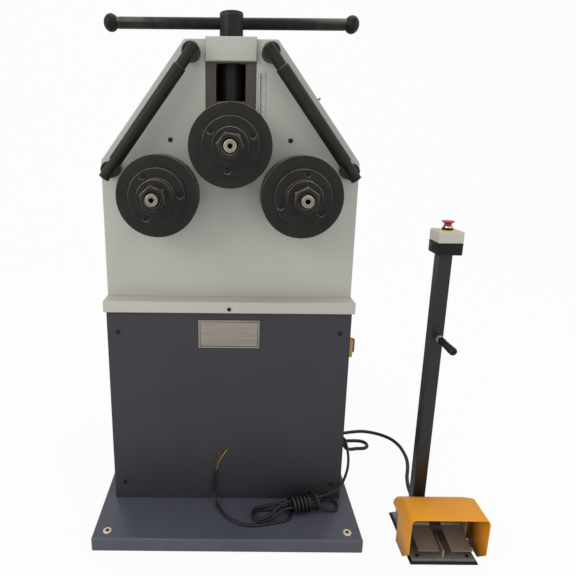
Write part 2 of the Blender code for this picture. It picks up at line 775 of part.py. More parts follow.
def slide():
    neck = SLOT_W / 2 - SEAT - GIB_W - SEAT
    neck_front = GIB_FRONT + 3 * SEAT
    body_front = GIB_BACK + SEAT
    block_body = block((-SLIDE_BODY_W / 2, body_front, SLIDE_FLOOR),
                       (SLIDE_BODY_W / 2, SLIDE_BACK, SLIDE_TOP))
    fuse(block_body, block((-neck, neck_front, SLIDE_FLOOR),
                           (neck, body_front + PLATE_T, SLIDE_TOP)))
    cut(block_body,
        bar(SHAFT_D + 2 * RUNNING, neck_front - OVERRUN, SLIDE_BACK + OVERRUN, "Y",
            (0, TOP_Z), sides=40),
        bar(SCREW_D + 2 * RUNNING, SLIDE_TOP - SCREW_POCKET, SLIDE_TOP + OVERRUN, "Z",
            (0, SCREW_Y), sides=40))
    part("slide_block", block_body, "oiled_steel")

    bore = SHAFT_D / 2 + RUNNING
    seat = neck_front - SEAT
    shoulder = GIB_FRONT - 2 * SEAT
    face = shoulder - FLANGE_T
    profile = [(bore, seat), (SLIDE_SPIGOT_D / 2, seat), (SLIDE_SPIGOT_D / 2, shoulder),
               (SLIDE_COVER_D / 2, shoulder), (SLIDE_COVER_D / 2, face), (bore, face)]
    cover = turned(profile, "Y", (0, TOP_Z), 40)
    rod_y = HOUSING_FRONT - POINTER_D
    reach = SLIDE_COVER_D / 2 - POINTER_D
    arm_low = (reach * math.cos(HALF_RIGHT), rod_y - POINTER_D / 2, POINTER_FOOT)
    arm_high = (POINTER_X + POINTER_D / 2, rod_y + POINTER_D / 2, POINTER_FOOT + 2 * POINTER_D)
    fuse(cover, block(arm_low, arm_high),
         bar(POINTER_D, POINTER_FOOT + POINTER_D, POINTER_TOP, "Z", (POINTER_X, rod_y), sides=12))
    part("slide_cover", cover, "oiled_steel")


def screw_and_handle():
    spot = (0, SCREW_Y)
    foot = SLIDE_TOP - SCREW_POCKET + SEAT
    crest = HEAD_TOP - SEAT
    screw_r, spigot_r = SCREW_D / 2, SPIGOT_D / 2
    profile = [(0, SPIGOT_TOP), (spigot_r - SOFT_EDGE, SPIGOT_TOP), (spigot_r, SPIGOT_TOP - SOFT_EDGE),
               (spigot_r, crest), (screw_r, crest), (screw_r, foot), (0, foot)]
    part("lead_screw", turned(profile, "Z", spot, 24), "oiled_steel")

    hub_floor = HEAD_TOP + 2 * SEAT
    hub_top = hub_floor + HUB_H
    hub_r = HUB_D / 2
    profile = [(0, hub_top), (hub_r - 2 * SOFT_EDGE, hub_top), (hub_r, hub_top - 2 * SOFT_EDGE),
               (hub_r, hub_floor), (0, hub_floor)]
    hub = turned(profile, "Z", spot, 24)
    cut(hub,
        bar(BAR_D + 2 * RUNNING, -HUB_D, HUB_D, "X", (SCREW_Y, BAR_Z), sides=24),
        bar(SPIGOT_D + 2 * RUNNING, hub_floor - OVERRUN, SPIGOT_TOP + SEAT, "Z", spot, sides=24))
    part("t_hub", hub, "black_oxide")

    bar_r, knob_r = BAR_D / 2, KNOB_D / 2
    middle = BAR_TIP_X - KNOB_L / 2
    last_turn = math.pi - math.asin(KNOB_NECK_SHARE * bar_r / knob_r)
    end = []
    for step in range(8):
        turn = last_turn * step / 7
        end.append((knob_r * math.sin(turn), middle + KNOB_L / 2 * math.cos(turn)))
    end.append((bar_r, end[-1][1] - SOFT_EDGE))
    profile = end + [(radius, -station) for radius, station in reversed(end)]
    part("t_bar", turned(profile, "X", (SCREW_Y, BAR_Z), 20), "black_oxide")


def roller_set(side, x, z):
    """The shaft, grooved roller, clamping flange and nut of one roller."""
    spot = (x, z)
    bore = SHAFT_D / 2 + RUNNING
    disc_r, core_r = DISC_D / 2, CORE_D / 2
    groove_back = ROLLER_BACK - DISC_T
    groove_front = groove_back - GROOVE_W
    front = groove_front - DISC_T
    lip = disc_r - DISC_EDGE
    profile = [(bore, ROLLER_BACK), (lip, ROLLER_BACK), (disc_r, ROLLER_BACK - DISC_EDGE),
               (disc_r, groove_back), (core_r, groove_back), (core_r, groove_front),
               (disc_r, groove_front), (disc_r, front + DISC_EDGE), (lip, front), (bore, front)]
    part(f"roller_{side}", turned(profile, "Y", spot, 28), "black_oxide")

    flange_back = front - SEAT
    flange_face = flange_back - FLANGE_T
    hub_face = flange_face - FLANGE_HUB_T
    end_bore = SHAFT_END_D / 2 + RUNNING
    ring_r, hub_r = FLANGE_D / 2, FLANGE_HUB_D / 2
    profile = [(end_bore, flange_back), (ring_r, flange_back), (ring_r, flange_face + SOFT_EDGE),
               (ring_r - SOFT_EDGE, flange_face), (hub_r, flange_face), (hub_r, hub_face + SOFT_EDGE),
               (hub_r - SOFT_EDGE, hub_face), (end_bore, hub_face)]
    flange = turned(profile, "Y", spot, 24)
    for step in range(3):
        angle = math.radians(FLANGE_TURNS[side]) + step * 2 * math.pi / 3
        place = (x + FLANGE_SCREW_PCD / 2 * math.cos(angle), z + FLANGE_SCREW_PCD / 2 * math.sin(angle))
        cut(flange, bar(FLANGE_SCREW_D, flange_face - OVERRUN, flange_face + FLANGE_SCREW_DEPTH, "Y",
                        place, sides=8))
    part(f"flange_{side}", flange, "black_oxide")

    nut_back = hub_face - SEAT
    nut = bar(NUT_FLATS, nut_back - NUT_T, nut_back, "Y", spot, sides=6, flats=True,
              corner=NUT_TURNS[side])
    cut(nut, bar(2 * end_bore, nut_back - NUT_T - OVERRUN, nut_back + OVERRUN, "Y", spot, sides=24))
    part(f"nut_{side}", nut, "black_oxide")

    back = SLIDE_BACK - OVERRUN if side == "top" else REAR_PLATE_FRONT + REAR_PLATE_T - OVERRUN
    collar_back = (GIB_FRONT - FLANGE_T if side == "top" else HOUSING_FRONT - COVER_RING_T) - OVERRUN
    shaft_r, end_r, collar_r = SHAFT_D / 2, SHAFT_END_D / 2, SHAFT_COLLAR_D / 2
    tip_r, tip_back = SHAFT_TIP_D / 2, nut_back - NUT_T - SOFT_EDGE
    centre_r = CENTRE_HOLE_D / 2
    profile = [(0, back), (shaft_r - SOFT_EDGE, back), (shaft_r, back - SOFT_EDGE),
               (shaft_r, collar_back), (collar_r, collar_back), (collar_r, ROLLER_BACK + SEAT),
               (shaft_r, ROLLER_BACK + SEAT), (shaft_r, front), (end_r, front), (end_r, tip_back),
               (tip_r, tip_back), (tip_r, SHAFT_FRONT + SOFT_EDGE), (tip_r - SOFT_EDGE, SHAFT_FRONT),
               (centre_r, SHAFT_FRONT), (0, SHAFT_FRONT + centre_r)]
    part(f"shaft_{side}", turned(profile, "Y", spot, 18), "bright_steel")


def gear_outline(teeth, phase):
    """Involute-width teeth as straight flanks: (radius, angle) of root and tip on each side."""
    pitch_r = GEAR_MODULE * teeth / 2
    base_r = pitch_r * math.cos(math.radians(20))
    tip_r = pitch_r + GEAR_MODULE
    root_r = pitch_r - 1.25 * GEAR_MODULE
    pressure = math.radians(20)
    involute = math.tan(pressure) - pressure
    at_base = math.pi / (2 * teeth) - GEAR_BACKLASH / (4 * pitch_r) + involute
    tip_pressure = math.acos(base_r / tip_r)
    at_tip = at_base - (math.tan(tip_pressure) - tip_pressure)
    points = []
    for tooth in range(teeth):
        middle = phase + 2 * math.pi * tooth / teeth
        for radius, turn in ((root_r, -at_base), (tip_r, -at_tip), (tip_r, at_tip), (root_r, at_base)):
            points.append((radius * math.cos(middle + turn), radius * math.sin(middle + turn)))
    return points


def gear(teeth, phase, x, z):
    points = [(x + px, z + pz) for px, pz in gear_outline(teeth, phase)]
    return outline_plate(points, GEAR_FRONT, GEAR_FRONT + GEAR_W)


def pinion_z():
    """The pinion's height, from the distance at which its teeth mesh with both gears."""
    distance = GEAR_MODULE * (GEAR_TEETH + PINION_TEETH) / 2
    return LOWER_Z - math.sqrt(distance ** 2 - LOWER_X ** 2)


def drive():
    low_z = pinion_z()
    for side, name in ((-1, "left"), (1, "right")):
        toward = math.atan2(LOWER_Z - low_z, side * LOWER_X)
        pinion_offset = (math.pi / 2 - toward) % (2 * math.pi / PINION_TEETH)
        phase = toward + math.pi - pinion_offset * PINION_TEETH / GEAR_TEETH + math.pi / GEAR_TEETH
        wheel = gear(GEAR_TEETH, phase, side * LOWER_X, LOWER_Z)
        cut(wheel, bar(SHAFT_D + 2 * RUNNING, GEAR_FRONT - OVERRUN, GEAR_FRONT + GEAR_W + OVERRUN, "Y",
                       (side * LOWER_X, LOWER_Z), sides=32))
        part(f"gear_{name}", wheel, "cast_iron")
    plate_back = REAR_PLATE_FRONT + REAR_PLATE_T
    pinion = gear(PINION_TEETH, math.pi / 2, 0, low_z)
    fuse(pinion, bar(PINION_SHAFT_D, GEAR_FRONT + GEAR_W / 2, plate_back - OVERRUN, "Y",
                     (0, low_z), sides=24))
    part("drive_pinion", pinion, "cast_iron")

    half = HOUSING_W / 2 - SHELL_T - SEAT
    plate = block((-half, REAR_PLATE_FRONT, SKIRT_TOP + SHELL_T + 2 * SEAT),
                  (half, plate_back, REAR_PLATE_TOP))
    holes = [(-LOWER_X, LOWER_Z, SHAFT_D), (LOWER_X, LOWER_Z, SHAFT_D), (0, low_z, PINION_SHAFT_D)]
    for x, z, diameter in holes:
        cut(plate, bar(diameter + 2 * RUNNING, REAR_PLATE_FRONT - OVERRUN, plate_back + OVERRUN, "Y",
                       (x, z), sides=40))
    part("rear_bearing_plate", plate, "cast_iron")

    box_front = plate_back + SEAT
    box_floor = low_z - GEARBOX_H / 2
    casing = block((-GEARBOX_W / 2, box_front, box_floor),
                   (GEARBOX_W / 2, box_front + GEARBOX_D, box_floor + GEARBOX_H), 3 * SOFT_EDGE)
    part("gearbox", casing, "gearbox_paint")

    top = box_floor - SEAT
    flange_floor = top - MOTOR_FLANGE_T
    flange_r, body_r = MOTOR_FLANGE_D / 2, MOTOR_D / 2
    neck_r = body_r - 3 * SOFT_EDGE
    cowl = top - MOTOR_L + body_r
    foot = top - MOTOR_L
    profile = [(0, top), (flange_r, top), (flange_r, flange_floor), (neck_r, flange_floor),
               (neck_r, cowl), (body_r, cowl), (body_r, foot + 4 * SOFT_EDGE),
               (body_r - 4 * SOFT_EDGE, foot), (0, foot)]
    motor = turned(profile, "Z", (0, box_front + GEARBOX_D / 2 + SEAT), 20)
    part("motor", motor, "gearbox_paint")


def bearing_covers():
    back = HOUSING_FRONT - SEAT
    face = back - COVER_RING_T
    bore = SHAFT_D / 2 + RUNNING
    outer = COVER_RING_D / 2
    for side, name in ((-1, "bearing_cover_left"), (1, "bearing_cover_right")):
        profile = [(bore, back), (outer, back), (outer, face + 2 * SOFT_EDGE),
                   (outer - 2 * SOFT_EDGE, face), (bore, face)]
        part(name, turned(profile, "Y", (side * LOWER_X, LOWER_Z), 24), "cast_iron")


def guard_rods():
    """Each rod with its two stand-off bosses, and the sleeve that turns on it."""
    for side, name in ((-1, "left"), (1, "right")):
        upper = Vector((side * ROD_UPPER[0], ROD_Y, ROD_UPPER[1]))
        lower = Vector((side * ROD_LOWER[0], ROD_Y, ROD_LOWER[1]))
        along = (lower - upper).normalized()
        start = upper - along * ROD_UPPER_END
        end = lower + along * ROD_LOWER_END
        rod = slanted_bar(ROD_D, start, end, 16)
        for place in (upper, lower):
            fuse(rod, bar(BOSS_D, ROD_Y - ROD_D / 4, HOUSING_FRONT - SEAT, "Y", (place.x, place.z),
                          sides=20))
        part(f"guard_rod_{name}", rod, "black_oxide")
        sleeve_start = upper + along * SLEEVE_UPPER_GAP
        sleeve_end = lower - along * SLEEVE_LOWER_GAP
        sleeve = slanted_bar(SLEEVE_D, sleeve_start, sleeve_end, 22)
        cut(sleeve, slanted_bar(ROD_D + 2 * RUNNING, sleeve_start - along * OVERRUN,
                                sleeve_end + along * OVERRUN, 22))
        part(f"sleeve_{name}", sleeve, "black_oxide")


def slanted_bar(diameter, start, end, sides):
    """A round bar between two points."""
    bm = bmesh.new()
    bmesh.ops.create_cone(bm, cap_ends=True, segments=sides, radius1=diameter / 2,
                          radius2=diameter / 2, depth=(end - start).length)
    turn = (end - start).to_track_quat("Z", "Y").to_matrix().to_4x4()
    return mesh_object(bm, Matrix.Translation((start + end) / 2) @ turn)


def side_fittings():
    """The main switch and the cable entry plate on the cabinet's right wall."""
    wall = CABINET_W / 2 + SEAT
    face = wall + SWITCH_T
    plate = block((wall, SWITCH_Y - SWITCH_W / 2, SWITCH_Z - SWITCH_H / 2),
                  (face, SWITCH_Y + SWITCH_W / 2, SWITCH_Z + SWITCH_H / 2), SOFT_EDGE / 2)
    part("switch_plate", plate, "yellow_plastic")
    spot = (SWITCH_Y, SWITCH_Z)
    ring_face = face + SEAT + KNOB_RING_T
    knob = bar(KNOB_RING_D, face + SEAT, ring_face, "X", spot, sides=28)
    half_w, half_h = KNOB_BAR_W / 2, KNOB_RING_D / 2 - SOFT_EDGE
    fuse(knob, block((ring_face - SOFT_EDGE, SWITCH_Y - half_w, SWITCH_Z - half_h),
                     (ring_face + KNOB_BAR_T, SWITCH_Y + half_w, SWITCH_Z + half_h), SOFT_EDGE))
    part("switch_knob", knob, "red_plastic")

    middle_z = (MAINS_ENTRY[1] + CONTROL_ENTRY[1]) / 2
    plate_face = wall + GLAND_PLATE_T
    entry = block((wall, GLAND_PLATE_FRONT, middle_z - GLAND_PLATE_H / 2),
                  (plate_face, GLAND_PLATE_BACK, middle_z + GLAND_PLATE_H / 2))
    tip = wall + GLAND_PLATE_T + GLAND_L
    for spot, cord_d in ((MAINS_ENTRY, MAINS_D), (CONTROL_ENTRY, CONTROL_D)):
        fuse(entry, bar(GLAND_D, plate_face - GLAND_PLATE_T / 2, tip - GLAND_L / 2, "X", spot,
                        sides=6, flats=True))
        profile = [(0, tip - 3 * GLAND_L / 4), (GLAND_D / 2 - SOFT_EDGE, tip - 3 * GLAND_L / 4),
                   (GLAND_D / 2 - SOFT_EDGE, tip - GLAND_L / 4), (cord_d / 2 + 2 * SOFT_EDGE, tip),
                   (0, tip)]
        fuse(entry, turned(profile, "X", spot, 20))
    part("gland_plate", entry, "black_plastic")


def foot_switch():
    half = FOOT_W / 2
    mat = block((FOOT_X - half, FOOT_FRONT, 0), (FOOT_X + half, FOOT_BACK, MAT_T))
    part("foot_mat", mat, "black_rubber")

    plate_floor = MAT_T + SEAT
    plate_top = plate_floor + FOOT_PLATE_T
    inner = half - FOOT_INSET
    base = block((FOOT_X - inner, FOOT_FRONT + FOOT_INSET, plate_floor),
                 (FOOT_X + inner, FOOT_BACK - FOOT_INSET, plate_top))
    sunk = plate_floor + FOOT_PLATE_T / 2
    box_half = FOOT_BOX_W / 2
    fuse(base, block((FOOT_X - box_half, FOOT_BOX_FRONT, sunk),
                     (FOOT_X + box_half, FOOT_BOX_BACK, FOOT_BOX_TOP)))
    fuse(base, block((FOOT_X - box_half, FOOT_BOX_FRONT, sunk),
                     (FOOT_X + box_half, FOOT_BOX_FRONT + BOX_LIP_T, BOX_LIP_TOP)))
    for side in (-1, 1):
        outer = FOOT_X + side * box_half
        faces = sorted((outer - side * EAR_T, outer))
        ear = block((faces[0], EAR_FRONT, sunk), (faces[1], FOOT_BOX_FRONT + OVERRUN, GUARD_TOP))
        wall = GUARD_X + side * (GUARD_W / 2 - GUARD_SHEET - SEAT)
        ends = sorted((outer - side * EAR_T / 2, wall))
        fuse(ear, block((ends[0], TAB_Y, TAB_FOOT), (ends[1], TAB_Y + TAB_T, GUARD_TOP)))
        fuse(base, combine(ear, guard_form(GUARD_SHEET + SEAT), "INTERSECT"))
    fuse(base, block((FOOT_X - DIVIDER_T / 2, DIVIDER_FRONT, sunk),
                     (FOOT_X + DIVIDER_T / 2, DIVIDER_BACK, plate_top + DIVIDER_H)))
    fuse(base, bar(CABLE_GROMMET_D, FOOT_BOX_BACK - OVERRUN, FOOT_BOX_BACK + CABLE_GROMMET_L, "Y",
                   (FOOT_X, CABLE_GROMMET_Z), sides=16))
    part("foot_base", base, "grey_plate")

    reach = box_half - EAR_T - SEAT
    ends = [FOOT_X - reach, FOOT_X + reach]
    part("pedal_axle", bar(AXLE_D, ends[0], ends[1], "X", (AXLE_Y, AXLE_Z), sides=16),
         "bright_steel")
    bore = AXLE_D + 2 * RUNNING
    for offset, name in zip(PEDAL_OFFSETS, ("pedal_left", "pedal_right")):
        low_x = FOOT_X + offset - PEDAL_W / 2
        high_x = low_x + PEDAL_W
        corners = [(-PEDAL_FRONT, PEDAL_FRONT_Z), (-PEDAL_FRONT, PEDAL_FRONT_Z + PEDAL_T),
                   (-AXLE_Y, AXLE_Z + PEDAL_T / 2), (-AXLE_Y, AXLE_Z - PEDAL_T / 2)]
        frame = Matrix.Rotation(-math.pi / 2, 4, "Z") @ FACING_FRONT
        pedal = outline_plate(corners, low_x, high_x, frame)
        fuse(pedal, bar(PEDAL_HUB_D, low_x, high_x, "X", (AXLE_Y, AXLE_Z), sides=20))
        cut(pedal, bar(bore, low_x - OVERRUN, high_x + OVERRUN, "X", (AXLE_Y, AXLE_Z), sides=20),
            divider_clearance())
        part(name, pedal, "grey_plate")

    side_frame = Matrix.Rotation(-math.pi / 2, 4, "Z") @ FACING_FRONT
    outline = [(GUARD_FRONT, GUARD_TOP + OVERRUN), (GUARD_FRONT, GUARD_NOSE_Z),
               (GUARD_FRONT + GUARD_NOSE_L, GUARD_FOOT), (GUARD_BACK, GUARD_FOOT),
               (GUARD_BACK, GUARD_REAR_FOOT[1]), GUARD_REAR_FOOT, GUARD_REAR_TOP,
               (GUARD_REAR_TOP[0], GUARD_TOP + OVERRUN)]
    reach = GUARD_W / 2 + OVERRUN
    side = outline_plate([(-y, z) for y, z in outline], GUARD_X - reach, GUARD_X + reach, side_frame)
    guard = combine(side, guard_form(0), "INTERSECT")
    level, sloped = guard_form(GUARD_SHEET)
    cut(guard, combine(level, [sloped], "INTERSECT"))
    part("foot_guard", guard, "orange_enamel")


def guard_form(inset):
    """Two rounded bars, one level and one tilted to the guard's rear slope, that bound its sheet at
    a depth below its outer faces."""
    half, top = GUARD_W / 2 - inset, GUARD_TOP - inset
    radius = GUARD_R - inset
    outline = fillet([(GUARD_X - half, -GUARD_TOP), (GUARD_X + half, -GUARD_TOP),
                      (GUARD_X + half, top), (GUARD_X - half, top)], (0, 0, radius, radius))
    tilt = math.atan2(GUARD_TOP - GUARD_REAR_TOP[1], GUARD_REAR_TOP[0] - GUARD_FOLD)
    fold = Vector((0, GUARD_FOLD - inset * math.tan(tilt / 2), top))
    near, far = GUARD_FRONT - GUARD_TOP, GUARD_REAR_FOOT[0] + GUARD_TOP
    sloped = outline_plate(outline, near, far)
    sloped.data.transform(Matrix.Translation(fold) @ Matrix.Rotation(-tilt, 4, "X")
                          @ Matrix.Translation(-fold))
    return [outline_plate(outline, near, far), sloped]


def divider_clearance():
    """The gap that the pedals keep to the divider between them."""
    half = DIVIDER_T / 2 + 2 * RUNNING
    return block((FOOT_X - half, FOOT_FRONT, 0), (FOOT_X + half, FOOT_BACK, FOOT_BOX_TOP))


def pole_and_box():
    half = POLE_W / 2
    floor = FOOT_BOX_TOP + SEAT
    pole = block((POLE_X - half, POLE_Y - half, floor), (POLE_X + half, POLE_Y + half, POLE_TOP),
                 POLE_EDGE)
    part("pole", pole, "pole_enamel")

    stud_back = POLE_Y - half - SEAT
    grip_back = stud_back - GRIP_STUD_L
    grip_front = grip_back - GRIP_L
    grip_r, stud_r = GRIP_D / 2, GRIP_STUD_D / 2
    profile = [(0, stud_back), (stud_r, stud_back), (stud_r, grip_back), (grip_r - SOFT_EDGE, grip_back),
               (grip_r, grip_back - SOFT_EDGE), (grip_r, grip_front + grip_r / 2),
               (grip_r * math.cos(THIRD_RIGHT), grip_front + grip_r / 8), (grip_r / 2, grip_front),
               (0, grip_front)]
    part("grip", turned(profile, "Y", (GRIP_X, GRIP_Z), 16), "black_plastic")

    reach = BOX_W / 2
    low = (BOX_X - reach, BOX_Y - reach)
    high = (BOX_X + reach, BOX_Y + reach)
    part("button_box_base", block((*low, POLE_TOP + SEAT), (*high, BOX_JOINT_Z), BOX_EDGE),
         "black_plastic")
    cover = block((*low, BOX_JOINT_Z + SEAT), (*high, BOX_TOP), BOX_EDGE)
    spot = (BOX_X, BOX_Y)
    collar_top = BOX_TOP + BUTTON_PLATE_T + COLLAR_T
    fuse(cover, bar(BUTTON_PLATE_D, BOX_TOP - OVERRUN, BOX_TOP + BUTTON_PLATE_T, "Z", spot, sides=24),
         bar(COLLAR_D, BOX_TOP - OVERRUN, collar_top, "Z", spot, sides=20))
    cut(cover, bar(COLLAR_BORE, BOX_JOINT_Z + 2 * BOX_EDGE, collar_top + OVERRUN, "Z", spot,
                   sides=24))
    part("button_box_cover", cover, "cover_plastic")

    stem_r, head_r = BUTTON_STEM_D / 2, BUTTON_HEAD_D / 2
    crown = BUTTON_HEAD_TOP - SOFT_EDGE
    stem_floor = BOX_TOP - (BOX_TOP - BOX_JOINT_Z) / 4
    profile = [(0, BUTTON_HEAD_TOP), (head_r / 2, BUTTON_HEAD_TOP), (head_r - SOFT_EDGE, crown),
               (head_r, crown - SOFT_EDGE), (head_r - SOFT_EDGE, BUTTON_FLARE_Z),
               (stem_r, BUTTON_FLARE_Z - SOFT_EDGE), (stem_r, stem_floor), (0, stem_floor)]
    part("stop_button", turned(profile, "Z", spot, 20), "red_plastic")


def hank_to_world(u, v, w):
    across = Vector((math.cos(HANK_SLANT), math.sin(HANK_SLANT), 0))
    forward = Vector((-across.y, across.x, 0))
    return Vector(HANK_ORIGIN) + across * u + forward * v + Vector((0, 0, w))


def ease(share):
    return share * share * (3 - 2 * share)


def hank_eye(eye_u, leaving, arriving, height):
    """A strand that leaves the waist, goes round an eye on the front side first, and comes back."""
    side = 1 if eye_u > 0 else -1
    waist_u = side * HANK_WAIST_HALF
    points = []
    for step in range(LEG_STEPS):
        share = ease(step / LEG_STEPS)
        points.append((waist_u + (eye_u - waist_u) * step / LEG_STEPS,
                       leaving[0] + (leaving[2] * HANK_EYE_R - leaving[0]) * share,
                       leaving[1] + (height - leaving[1]) * share))
    for step in range(EYE_STEPS + 1):
        turn = math.pi * step / EYE_STEPS
        points.append((eye_u + side * HANK_EYE_R * math.sin(turn),
                       leaving[2] * HANK_EYE_R * math.cos(turn), height))
    for step in range(LEG_STEPS - 1, -1, -1):
        share = ease(step / LEG_STEPS)
        points.append((waist_u + (eye_u - waist_u) * step / LEG_STEPS,
                       arriving[0] + (arriving[2] * HANK_EYE_R - arriving[0]) * share,
                       arriving[1] + (height - arriving[1]) * share))
    return points


def hank_route():
    """The cord through the hank: four strands in the waist, three eyes, then the wraps round them."""
    rest = MAINS_D / 2 + HANK_REST
    axis = WRAP_R + rest
    top = (0, axis + STRAND_RISE)
    far = (-STRAND_SIDE, axis - STRAND_LOW)
    near = (STRAND_SIDE, axis - STRAND_LOW)
    low = (-STRAND_LOW, axis - STRAND_DROP)
    points = [(HANK_START_U, 0, top[1] + SOFT_EDGE), (HANK_START_U + MAINS_D, 0, top[1] + SOFT_EDGE),
              (-HANK_WAIST_HALF, *top), (0, *top)]
    points += hank_eye(HANK_LEFT_EYE_U, (*top, 1), (*far, -1), rest + HANK_LAYER)
    points.append((0, *far))
    points += hank_eye(HANK_RIGHT_EYE_U, (*far, -1), (*near, 1), rest)
    points.append((0, *near))
    points += hank_eye(HANK_LEFT_EYE_U, (*near, 1), (*low, -1), rest)
    points.append((0, *low))
    crossing = [(0, *low), *HANK_CROSSING]
    quarter = WRAP_POINTS // 4
    for step in range(2, quarter + 1):
        turn = 2 * math.pi * step / WRAP_POINTS
        radius = WRAP_R + WRAP_LOOSE * ease((step - 2) / (quarter - 2))
        crossing.append((WRAP_LOOSE_U, radius * math.sin(turn), axis - radius * math.cos(turn)))
    points += [tuple(point) for point in smooth_route(crossing, WRAP_R / 4)[1:-1]]
    first_u = -HANK_WAIST_HALF + WRAP_PITCH / 2
    for step in range(quarter, WRAP_TURNS * WRAP_POINTS + 1):
        turn = 2 * math.pi * step / WRAP_POINTS
        loose = max(0.0, 1 - (step - quarter) / (WRAP_POINTS - quarter))
        radius = WRAP_R + WRAP_LOOSE * loose
        u = first_u + WRAP_PITCH * (step / WRAP_POINTS - 1)
        if loose:
            u = first_u + (WRAP_LOOSE_U - first_u) * ease(loose)
        points.append((u, radius * math.sin(turn), axis - radius * math.cos(turn)))
    last_u = points[-1][0]
    for step in range(1, EYE_STEPS + 1):
        turn = math.pi / 2 * step / EYE_STEPS
        points.append((last_u + TAIL_V * (1 - math.cos(turn)), TAIL_V * math.sin(turn), rest))
    points += [(HANK_JOIN_U - MAINS_D, TAIL_V, rest), (HANK_JOIN_U, TAIL_V, rest)]
    return points


def least_gap(route, diameter):
    """The least air between stretches of a tube that aren't neighbours along it."""
    fine = smooth_route(route, diameter / 4)
    skip = 12
    best = math.inf
    for index, point in enumerate(fine):
        for other in fine[index + skip:]:
            best = min(best, (point - other).length)
    return best - diameter


def cords():
    spacing = ROUTE_SPACING_DIAMETERS * CONTROL_D
    part("control_cable", tube(smooth_route(CONTROL_ROUTE, spacing), CONTROL_D), "black_rubber")

    hank = [hank_to_world(*point) for point in hank_route()]
    print(f"least gap of the hank to itself: {1000 * least_gap(hank, MAINS_D):.2f} mm")
    part("mains_hank", tube(hank, MAINS_D, 1), "black_rubber")

    along = (hank[1] - hank[0]).normalized()
    start = hank[0] - along * SEAT
    lead = [*LEAD_ROUTE, start - along * MAINS_D, start]
    spacing = ROUTE_SPACING_DIAMETERS * MAINS_D
    part("mains_lead", tube(smooth_route(lead, spacing), MAINS_D), "black_rubber")

    along = (hank[-1] - hank[-2]).normalized()
    start = hank[-1] + along * SEAT
    tail = tube_mesh(smooth_route([start, start + along * MAINS_D, *TAIL_ROUTE], spacing), MAINS_D)
    for route in WIRE_ROUTES:
        fuse(tail, tube_mesh(smooth_route(route, 4 * WIRE_D), WIRE_D))
    part("mains_tail", tail, "black_rubber")


def main():
    clear_scene()
    base_tray()
    cabinet()
    skirt()
    housing()
    slide_ways()
    slide()
    screw_and_handle()
    for side, x, z in (("left", -LOWER_X, LOWER_Z), ("right", LOWER_X, LOWER_Z), ("top", 0, TOP_Z)):
        roller_set(side, x, z)
    bearing_covers()
    drive()
    guard_rods()
    side_fittings()
    foot_switch()
    pole_and_box()
    cords()


main()
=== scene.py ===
"""Dresses the ring roller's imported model: finer pieces, finishes, cords, studio and camera.

Metres, +Z up, and the machine faces -Y. Sizes come from the CAD nodes where one carries the
piece, and from the named values below where none does.
"""

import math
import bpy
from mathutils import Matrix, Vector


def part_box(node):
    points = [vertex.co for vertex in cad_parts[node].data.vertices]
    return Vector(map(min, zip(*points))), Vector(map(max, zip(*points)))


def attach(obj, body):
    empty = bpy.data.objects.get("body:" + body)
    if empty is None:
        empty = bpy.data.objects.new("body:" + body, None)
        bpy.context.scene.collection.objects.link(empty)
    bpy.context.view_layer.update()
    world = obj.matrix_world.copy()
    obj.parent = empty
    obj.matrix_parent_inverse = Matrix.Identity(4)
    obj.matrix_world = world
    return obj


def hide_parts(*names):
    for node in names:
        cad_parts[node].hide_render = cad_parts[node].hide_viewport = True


bl_info = {
    "name": "Ring Roller",
    "version": (1, 0, 0),
    "blender": (4, 5, 0),
    "location": "3D View > Sidebar > Ring Roller",
    "description": "Dresses the ring roller model for a studio render",
    "category": "Object",
}

import bmesh
import bpy
from bpy.props import FloatProperty, FloatVectorProperty, IntProperty, PointerProperty
from mathutils import Matrix, Vector

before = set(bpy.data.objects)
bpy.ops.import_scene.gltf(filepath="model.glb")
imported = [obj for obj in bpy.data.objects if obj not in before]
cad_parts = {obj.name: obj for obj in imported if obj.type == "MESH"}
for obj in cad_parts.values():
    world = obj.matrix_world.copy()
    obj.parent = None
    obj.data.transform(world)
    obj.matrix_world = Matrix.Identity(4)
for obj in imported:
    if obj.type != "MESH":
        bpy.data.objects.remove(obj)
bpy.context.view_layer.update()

MERGE = 0.00002
SKIN = 0.0002
SEAT = 0.0003
SHARP_ANGLE = math.radians(40)
FLAT_ANGLE = math.radians(1)
FRONT = Vector((0, -1, 0))
RIGHT = Vector((1, 0, 0))
UP = Vector((0, 0, 1))

# The four posts that carry the guard rods, and the rods' overhangs
ROD_Y = -0.191
ROD_UPPER = (0.087, 1.156)
ROD_LOWER = (0.2745, 0.902)
ROD_UPPER_END = 0.016
ROD_LOWER_END = 0.024
ROD_D = 0.025
BOSS_D = 0.039
SLEEVE_D = 0.030
SLEEVE_UPPER_GAP = 0.040
SLEEVE_LOWER_GAP = 0.022
ROD_EDGE = 0.0005

# Rollers and what clamps them
CORE_D = 0.120
DISC_T = 0.014
DISC_EDGE = 0.0006
FLANGE_T = 0.011
FLANGE_HUB_D = 0.078
FLANGE_SCREW_PCD = 0.104
FLANGE_SCREW_D = 0.014
FLANGE_SCREW_DEPTH = 0.006
FLANGE_TURNS = {"left": 124.0, "right": 81.0, "top": 144.0}
NUT_FLATS = 0.050
NUT_TURNS = {"left": 42.0, "right": 25.0, "top": 52.0}
SHAFT_D = 0.050
SHAFT_END_D = 0.033
SHAFT_TIP_D = 0.0265
SHAFT_STEP = -0.004
SHAFT_COLLAR_D = 0.062
CENTRE_HOLE_D = 0.010
CLEARANCE = 0.0004
NUT_FACE = 0.985
NUT_REACH = 1.05
NUT_CHAMFER = math.radians(28)
THROAT_SHARE = 0.45
SHAFT_BEVEL = 0.0015
FINE_EDGE = 0.0003

# Socket screws one unit across: a cap's height and edge, and the socket's radius and floor
CAP_HEAD = (0.62, 0.07)
SOCKET_R = 0.29
SOCKET_FLOOR = 0.45

